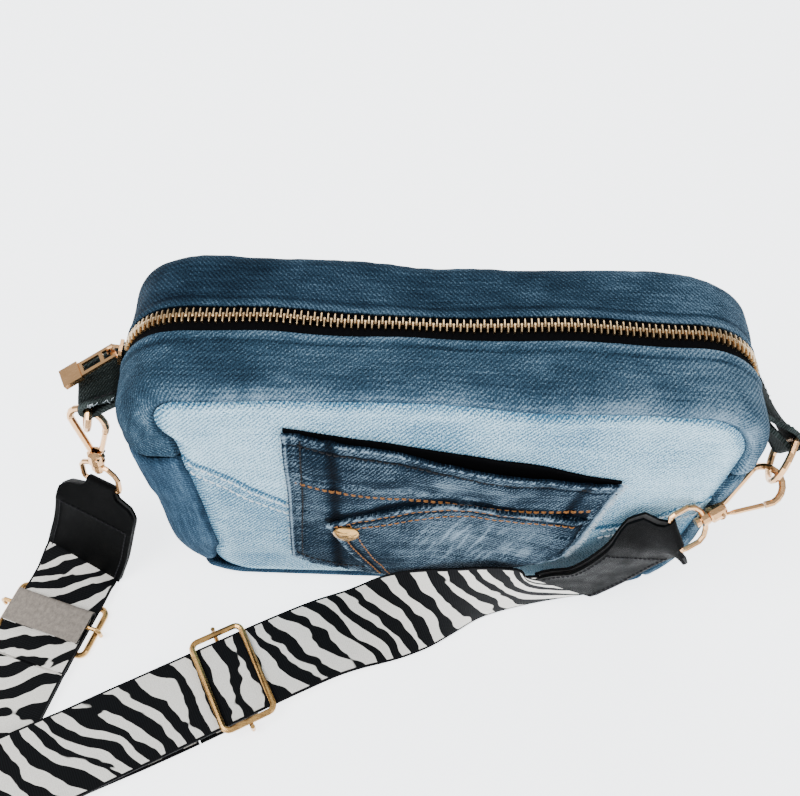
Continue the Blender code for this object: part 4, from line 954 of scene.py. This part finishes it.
def add_mouth_shadow_sheet():
    """A black sheet of painted shadow: it stands in for the shade inside the pocket's mouth, showing above its edge."""
    u = np.linspace(0, 1, 90)[:, None]
    v = np.linspace(-1, 1, 20)[None, :]
    x = -59.5 + 131.0 * u + 0 * v
    high = 0.7 + 2.4 * hill(u, 0.66, 0.22) * step(u, 0, 0.05) * step(1 - u, 0, 0.04)
    z = np.interp(x, TOP_X, TOP_Z) + np.where(v > 0, v * high, v * 12.0)
    lift = 1.0 + 0.5 * ripple(flat_points(x, z), 9.0, 3.0) * step(-v, 0, 1)
    grid = on_front(x, z, lift)
    # painted shadow: this black strip stands in for the shade inside the gaping pocket mouth
    cloth("pocket_facing", grid, np.stack([x, z], axis=-1), 0.8, PAINT["tape"], "bag", (), flip=False)


def add_coin_pocket():
    x, z = patch_grid((COIN_X, COIN_Z), (COIN_BASE_X, COIN_BASE_Z), 150, 100)
    top = np.hypot(x - x[:, :1], z - z[:, :1])
    base = np.hypot(x - x[:, -1:], z - z[:, -1:])
    left = np.hypot(x - x[:1, :], z - z[:1, :])
    right = np.hypot(x[-1:, :] - x, z[-1:, :] - z)
    flat = flat_points(x, z)
    pucker = ripple(flat, 3.2, 60.0)
    height = 0.6 * hill(top, 1.4, 1.3) - 0.4 * hill(top, 4.6, 0.7) + 0.5 * hill(left, 1.2, 1.2) - 0.35 * hill(left, 4.6, 0.7)
    height += 0.35 * hill(left, 7.5, 2.0) * pucker + 0.3 * hill(top, 8, 2.4) * pucker - 0.8 * hill(base, 0, 2.0)
    height -= 1.0 * hill(right, 0, 2.5)
    slant = 0.33 * x + 0.94 * z
    across = 0.94 * x - 0.33 * z
    streak = step(ripple(np.stack([slant / 14.0, across / 1.7, 0 * x], axis=-1), 1.0, 66.0), -0.05, 0.45)
    wear = 0.9 * hill(top, 1.3, 1.0) * dashes(x, top, 3.0, 22.0) + 0.8 * hill(left, 1.0, 0.9) * dashes(z, left, 3.0, 24.0)
    wear += 0.62 * hill(x, 18, 24) * hill(z, 58, 20) * streak + 0.4 * hill(x, 14, 30) * hill(z, 60, 26)
    wear += 0.25 * hill(top, 6.5, 1.0) * dashes(x, top, 2.2, 26.0)
    shade = 0.5 * hill(top, 4.6, 0.7) + 0.5 * hill(left, 4.6, 0.7) + 0.6 * hill(right, 0, 2.0)
    lift = pocket_lift(x, z) + COIN_PLY + height
    grid = on_front(x, z, lift)
    fields = {"wear": wear - 0.12, "shade": shade}
    uv = np.stack([x, z], axis=-1)
    cloth("denim_coin_pocket", grid, uv, 1.3, PAINT["pocket"], "bag", ("coin_pocket",), flip=True, fields=fields)
    for tag, inward in (("a", 3.6), ("b", 8.4)):
        k = np.argmin(np.abs(left[:, 50] - inward))
        m = np.argmin(np.abs(top[60] - inward))
        for way, (a, b) in (("left", (x[k], z[k])), ("top", (x[:, m], z[:, m]))):
            seam = on_front(a, b, pocket_lift(a, b) + COIN_PLY - 0.05)
            out = np.tile((0.0, -1.0, 0.1), (len(seam), 1))
            stitches(f"stitch_coin_{way}_{tag}", seam[3:-3], out[3:-3], PAINT["stitch"], "bag", 2.9, 2.2, 0.28)


def add_rivet():
    """A dimpled metal dome over the coin pocket's corner."""
    cx, cz, radius = -36.0, 62.0, 5.6
    ring = np.linspace(0, 1, 15)
    turn = np.arange(48) * 2 * math.pi / 48
    x = cx + radius * ring[:, None] * np.cos(turn)[None, :]
    z = cz + radius * ring[:, None] * np.sin(turn)[None, :]
    dome = 1.5 * np.sqrt(np.clip(1 - ring**2 * 0.98, 0, 1))[:, None]
    dent = 0.28 * ripple(flat_points(x, z), 1.7, 71.0) * (ring[:, None] < 0.9)
    base = float(pocket_lift(np.array(cx), np.array(cz))) + COIN_PLY + 0.5
    top = on_front(x, z, base + dome + dent)
    foot = on_front(x[-1], z[-1], base - 1.4)
    rows = np.concatenate([top[1:], foot[None]])
    points = np.concatenate([top[0][:1], rows.reshape(-1, 3), foot.mean(axis=0)[None]])
    faces = [(0, 1 + j, 1 + (j + 1) % 48) for j in range(48)]
    for i in range(len(rows) - 1):
        for j in range(48):
            a, b = 1 + i * 48 + j, 1 + i * 48 + (j + 1) % 48
            faces.append((a, a + 48, b + 48, b))
    last = 1 + (len(rows) - 1) * 48
    faces += [(last + j, len(points) - 1, last + (j + 1) % 48) for j in range(48)]
    make("rivet_dome", points, faces, PAINT["old_gold"], "bag", ("pocket_rivet",), sharp=40.0)


add_pocket()
add_mouth_shadow_sheet()
add_coin_pocket()
add_rivet()

# ---------------------------------------------------------------- zip


def on_top(s, lane, rise):
    """A point above the gusset's outline at a lane from its centre line."""
    x, z = outline(s, -np.asarray(rise, float))
    return soften(np.stack(np.broadcast_arrays(x, lane, z), axis=-1))


def add_tape(name, node, side):
    s = np.linspace(-ZIP_REACH + 1, ZIP_REACH - 1, 360)[:, None]
    lane = np.array([1.7, 2.6, 3.4, 4.2, 5.0, 6.0, 7.2, 8.6, 10.2, 12.0])[None, :]
    rib = 0.14 * np.sin(s * 2 * math.pi / 1.6) * (lane < 7.0)
    rise = -1.0 - 1.1 * step(lane, 6.0, 9.0) + rib
    grid = on_top(s + 0 * lane, side * lane, rise)
    uv = np.stack(np.broadcast_arrays(s, lane), axis=-1)
    cloth(name, grid, uv, 0.8, PAINT["tape"], "bag", (node,), flip=side < 0)


def add_teeth(name, node, side, start):
    """A row of separate tapered teeth, each reaching a little past the middle."""
    corner = ((-1, -1), (-1, 0.55), (-0.6, 1), (0.6, 1), (1, 0.55), (1, -1))
    sections = ((3.1, 0.34, 0.6), (2.3, 0.38, 0.9), (1.3, 0.36, 0.9), (0.5, 0.42, 0.95), (-0.3, 0.62, 0.98), (-0.9, 0.5, 0.7))
    parts = []
    for s in np.arange(start, 141.3, 2.5):
        rows = []
        for lane, half, tall in sections:
            row_s = np.array([s + half * a for a, _ in corner])
            row_rise = np.array([-0.2 + tall * b for _, b in corner])
            rows.append(on_top(row_s, side * lane, row_rise))
        points = np.concatenate(rows)
        faces = []
        for i in range(len(sections) - 1):
            for j in range(6):
                a, b = i * 6 + j, i * 6 + (j + 1) % 6
                faces.append((a, b, b + 6, a + 6))
        faces += [tuple(reversed(range(6))), tuple(range(30, 36))]
        if side > 0:
            faces = [f[::-1] for f in faces]
        parts.append((points, faces))
    points, faces = merged(parts)
    make(name, points, faces, PAINT["brass"], "bag", (node,), sharp=35.0)


add_tape("tape_front", "zip_tape_front", -1)
add_tape("tape_back", "zip_tape_back", 1)
add_teeth("teeth_front", "zip_teeth_front", -1, -130.6)
add_teeth("teeth_back", "zip_teeth_back", 1, -129.35)

# ---------------------------------------------------------------- tabs, lining and seam stitches

TABS = {
    "left": ((-126.6, -3.0, 117.5), (0.0, -1.0, 0.0), (-140.0, -9.0, 113.0), (0.2, -0.98, 0.0)),
    "right": ((126.8, 0.0, 118.0), (0.0, -1.0, 0.0), (144.4, -12.0, 98.4), (-0.1, -0.5, 0.86)),
}


def add_tab(side_name):
    """A folded denim strip from the bag round the D-ring's straight bar and back."""
    root, root_side, bar, bar_side = (np.array(v) for v in TABS[side_name])
    bar_side = unit(bar_side)
    travel = unit(bar - root)
    root_up = np.cross(travel, root_side)
    root_up = unit(root_up) * math.copysign(1.0, root_up[2])
    bar_up = unit(np.cross(travel, bar_side))
    bar_up *= math.copysign(1.0, np.dot(bar_up, root_up))
    ahead = unit(np.cross(bar_side, bar_up))
    ahead *= math.copysign(1.0, np.dot(ahead, travel))
    if np.dot(bar_side, root_side) < 0:
        bar_side = -bar_side
    path = []
    sides = []
    half = []
    shares = np.linspace(-0.06, 0.85, 26)
    for share, sign in [(t, 1) for t in shares] + [(t, 0) for t in np.linspace(75, -75, 13)] + [(t, -1) for t in shares[::-1]]:
        if sign == 0:
            turn = math.radians(share)
            path.append(bar + 4.0 * (math.sin(turn) * bar_up + math.cos(turn) * ahead))
            sides.append(bar_side)
            half.append(10.7)
            continue
        t = max(share, 0.0)
        off = (2.3 + 1.7 * t) * sign
        path.append(root + (bar - root) * share + unit(root_up * (1 - t) + bar_up * t) * off)
        sides.append(unit(root_side * (1 - t) + bar_side * t))
        half.append(14.0 - 3.3 * t)
    path = np.array(path)
    sides = np.array(sides)
    half = np.array(half)
    v = np.linspace(-1, 1, 30)
    grid = path[:, None] + sides[:, None] * (v[None, :, None] * half[:, None, None])
    walked = length_along(path)
    uv = np.stack([np.broadcast_to(walked[:, None], grid.shape[:2]), v[None] * half[:, None]], axis=-1)
    rim = (1 - np.abs(v))[None, :] * half[:, None]
    pucker = ripple(grid, 3.2, 28.0)
    wear = 0.55 * hill(rim, 0.6, 0.9) * (1 + pucker) + 0.25 * hill(walked, walked[len(shares)], 4.0)[:, None]
    shade = 0.35 * hill(rim, 3.2, 0.6) + 0.4 * hill(walked, 0, 3.0)[:, None]
    outward = np.cross(sides[3], path[4] - path[3])
    flip = np.dot(outward, root_up) > 0
    height = 0.35 * ripple(grid, 7.0, 31.0) + 0.3 * hill(rim, 1.4, 1.2) - 0.25 * hill(rim, 3.2, 0.6)
    grid = relief(grid, height, flip)
    fields = {"wear": wear, "shade": shade}
    cloth(f"tab_{side_name}", grid, uv, 1.9, PAINT["tab"], "bag", (f"{side_name}_tab",), flip=flip, fields=fields)
    normal = normals_of(grid) * (-1 if flip else 1)
    for tag, k in (("a", 3), ("b", 26)):
        seam = grid[2:24, k]
        stitches(f"stitch_tab_{side_name}_{tag}", seam, normal[2:24, k], PAINT["dark_stitch"], "bag", 2.8, 2.1, 0.34)
    near = 0 if np.dot(sides[0], (0, -1, 0)) < 0 else -1
    edge = grid[1:26, near if side_name == "left" else -1 - near]
    ways = np.tile((0.0, -0.9 if side_name == "left" else 0.9, 0.2), (25, 1))
    count = 12 if side_name == "left" else 110
    fringe(f"fray_tab_{side_name}", edge, ways, normal[1:26, 3], PAINT["fray"], "bag", count, 2.2, 13)


def add_lining():
    """The bag's lining, an open-topped shell close inside the denim."""
    turn = np.linspace(0, 2 * math.pi, 72, endpoint=False)
    rows = ((0.0, 0.0, 4.5), (0.5, 0.35, 4.2), (0.86, 0.8, 4.4), (0.97, 0.95, 9.0), (1.0, 1.0, 20.0), (1.0, 1.0, 60.0))
    rows += ((1.0, 1.0, 100.0), (0.99, 0.97, 124.0), (0.95, 0.9, 138.0))
    grid = []
    for wide, deep, z in rows:
        up = max(CORNER - z, z - HEIGHT + CORNER, 0.0)
        half = HALF_TOP + math.sqrt(max((CORNER - 3.5) ** 2 - up**2, 0.0)) - 1.0
        low = 1.0 - 0.10 * max(0.0, 1.0 - z / 120.0) ** 1.2
        x = np.sign(np.cos(turn)) * np.abs(np.cos(turn)) ** 0.45 * half * low * wide
        y = np.sign(np.sin(turn)) * np.abs(np.sin(turn)) ** 0.45 * 29.0 * deep
        grid.append(np.stack([x, y, 0 * x + z], axis=-1))
    grid = np.transpose(np.array(grid), (1, 0, 2))
    grid[:, 1:-1] += 0.6 * ripple(grid[:, 1:-1], 18.0, 3.0)[..., None]
    uv = np.stack([np.broadcast_to(turn[:, None] * 50, grid.shape[:2]), grid[..., 2]], axis=-1)
    cloth("lining_shell", grid[:, 1:], uv[:, 1:], 0.8, PAINT["lining"], "bag", (), flip=True, wrap=True)
    floor = grid[:, 1].mean(axis=0)
    ring = grid[:, 1]
    points = np.concatenate([ring, [floor], ring + (0, 0, 0.8), [floor + (0, 0, 0.8)]])
    faces = []
    for j in range(72):
        k = (j + 1) % 72
        faces += [(72, k, j), (145, 73 + j, 73 + k), (j, k, 73 + k, 73 + j)]
    make("lining_floor", points, faces, PAINT["lining"], "bag", ("lining",))


def add_seam_stitches():
    """Two pale rows along each felled seam of the front panel."""
    for tag, low, high in (("left", -98.5, -60.5), ("right", 70.0, 110.0)):
        x = np.linspace(low, high, 60)
        for row, drop in (("a", 1.6), ("b", 8.0)):
            z = np.interp(x, SEAM_X, SEAM_Z) - drop
            seam = on_front(x, z, 0.15)
            out = np.tile((0.0, -1.0, 0.1), (60, 1))
            stitches(f"stitch_seam_{tag}_{row}", seam, out, PAINT["pale_stitch"], "bag", 3.1, 2.3, 0.36)


add_tab("left")
add_tab("right")
add_lining()
add_seam_stitches()

# ---------------------------------------------------------------- slot names by object-name start (listed only; nothing is assigned)

SLOTS = (
    ("denim_zip_front", "mid_denim"), ("denim_zip_back", "dark_denim"), ("denim_side_left", "mid_denim"),
    ("denim_side_right", "light_denim"), ("denim_base", "dark_denim"), ("denim_front", "light_denim"),
    ("denim_back", "mid_denim"), ("denim_pocket", "dark_denim"), ("denim_coin_pocket", "dark_denim"),
    ("pocket_facing", "zip_tape"), ("tape_", "zip_tape"), ("teeth_", "zip_brass"), ("tab_", "tab_denim"),
    ("lining_", "lining"), ("rivet_dome", "antique_brass"), ("leather_end", "black_leather"),
    ("leather_stitch", "black_leather"), ("webbing_", "webbing"), ("stitch_tab", "tab_denim"),
    ("stitch_", "dark_denim"), ("fray_", "light_denim"),
)
for obj in list(bpy.data.objects):
    for start, slot in SLOTS:
        if obj.name.startswith(start):
            break

# ---------------------------------------------------------------- finish of the carried-over metal

for node, obj in NODES.items():
    look = "gold"
    if "adjuster" in node:
        look = "old_gold"
    if obj.type == "MESH":
        obj.data.materials.clear()
        obj.data.materials.append(PAINT[look])

# ---------------------------------------------------------------- floor and light


def add_stage():
    floor = bpy.data.meshes.new("floor")
    floor.from_pydata([(-4, -4, -0.0004), (4, -4, -0.0004), (4, 4, -0.0004), (-4, 4, -0.0004)], [], [(0, 1, 2, 3)])
    obj = bpy.data.objects.new("floor", floor)
    bpy.context.scene.collection.objects.link(obj)
    s = Shader("floor_paper", roughness=0.9, specular=0.05)
    s.out.inputs["Emission Color"].default_value = (0.94, 0.97, 1.0, 1.0)
    s.out.inputs["Emission Strength"].default_value = 2.8
    fibre = s.noise(s.place((40, 40, 40)), 1.0, 2.0)
    floor.materials.append(s.colour(s.mix(fibre, (0.93, 0.945, 0.96), (0.95, 0.96, 0.97))))
    world = bpy.data.worlds.new("world")
    bpy.context.scene.world = world
    world.use_nodes = True
    world.node_tree.nodes["Background"].inputs[0].default_value = (0.93, 0.96, 1.0, 1.0)
    world.node_tree.nodes["Background"].inputs[1].default_value = 0.85
    for name, where, target, size, power in (
        ("key", (-0.5, -0.35, 1.1), (0, 0, 0.08), 0.7, 14.0),
        ("fill", (0.9, -0.7, 0.7), (0, 0, 0.08), 0.9, 6.0),
        ("back", (0.1, 1.0, 0.9), (0, 0, 0.1), 0.8, 7.0),
    ):
        data = bpy.data.lights.new(name, "AREA")
        data.shape = "DISK"
        data.size = size
        data.energy = power
        light = bpy.data.objects.new(name, data)
        light.location = where
        aim = Vector(target) - Vector(where)
        light.rotation_euler = aim.to_track_quat("-Z", "Y").to_euler()
        bpy.context.scene.collection.objects.link(light)


add_stage()
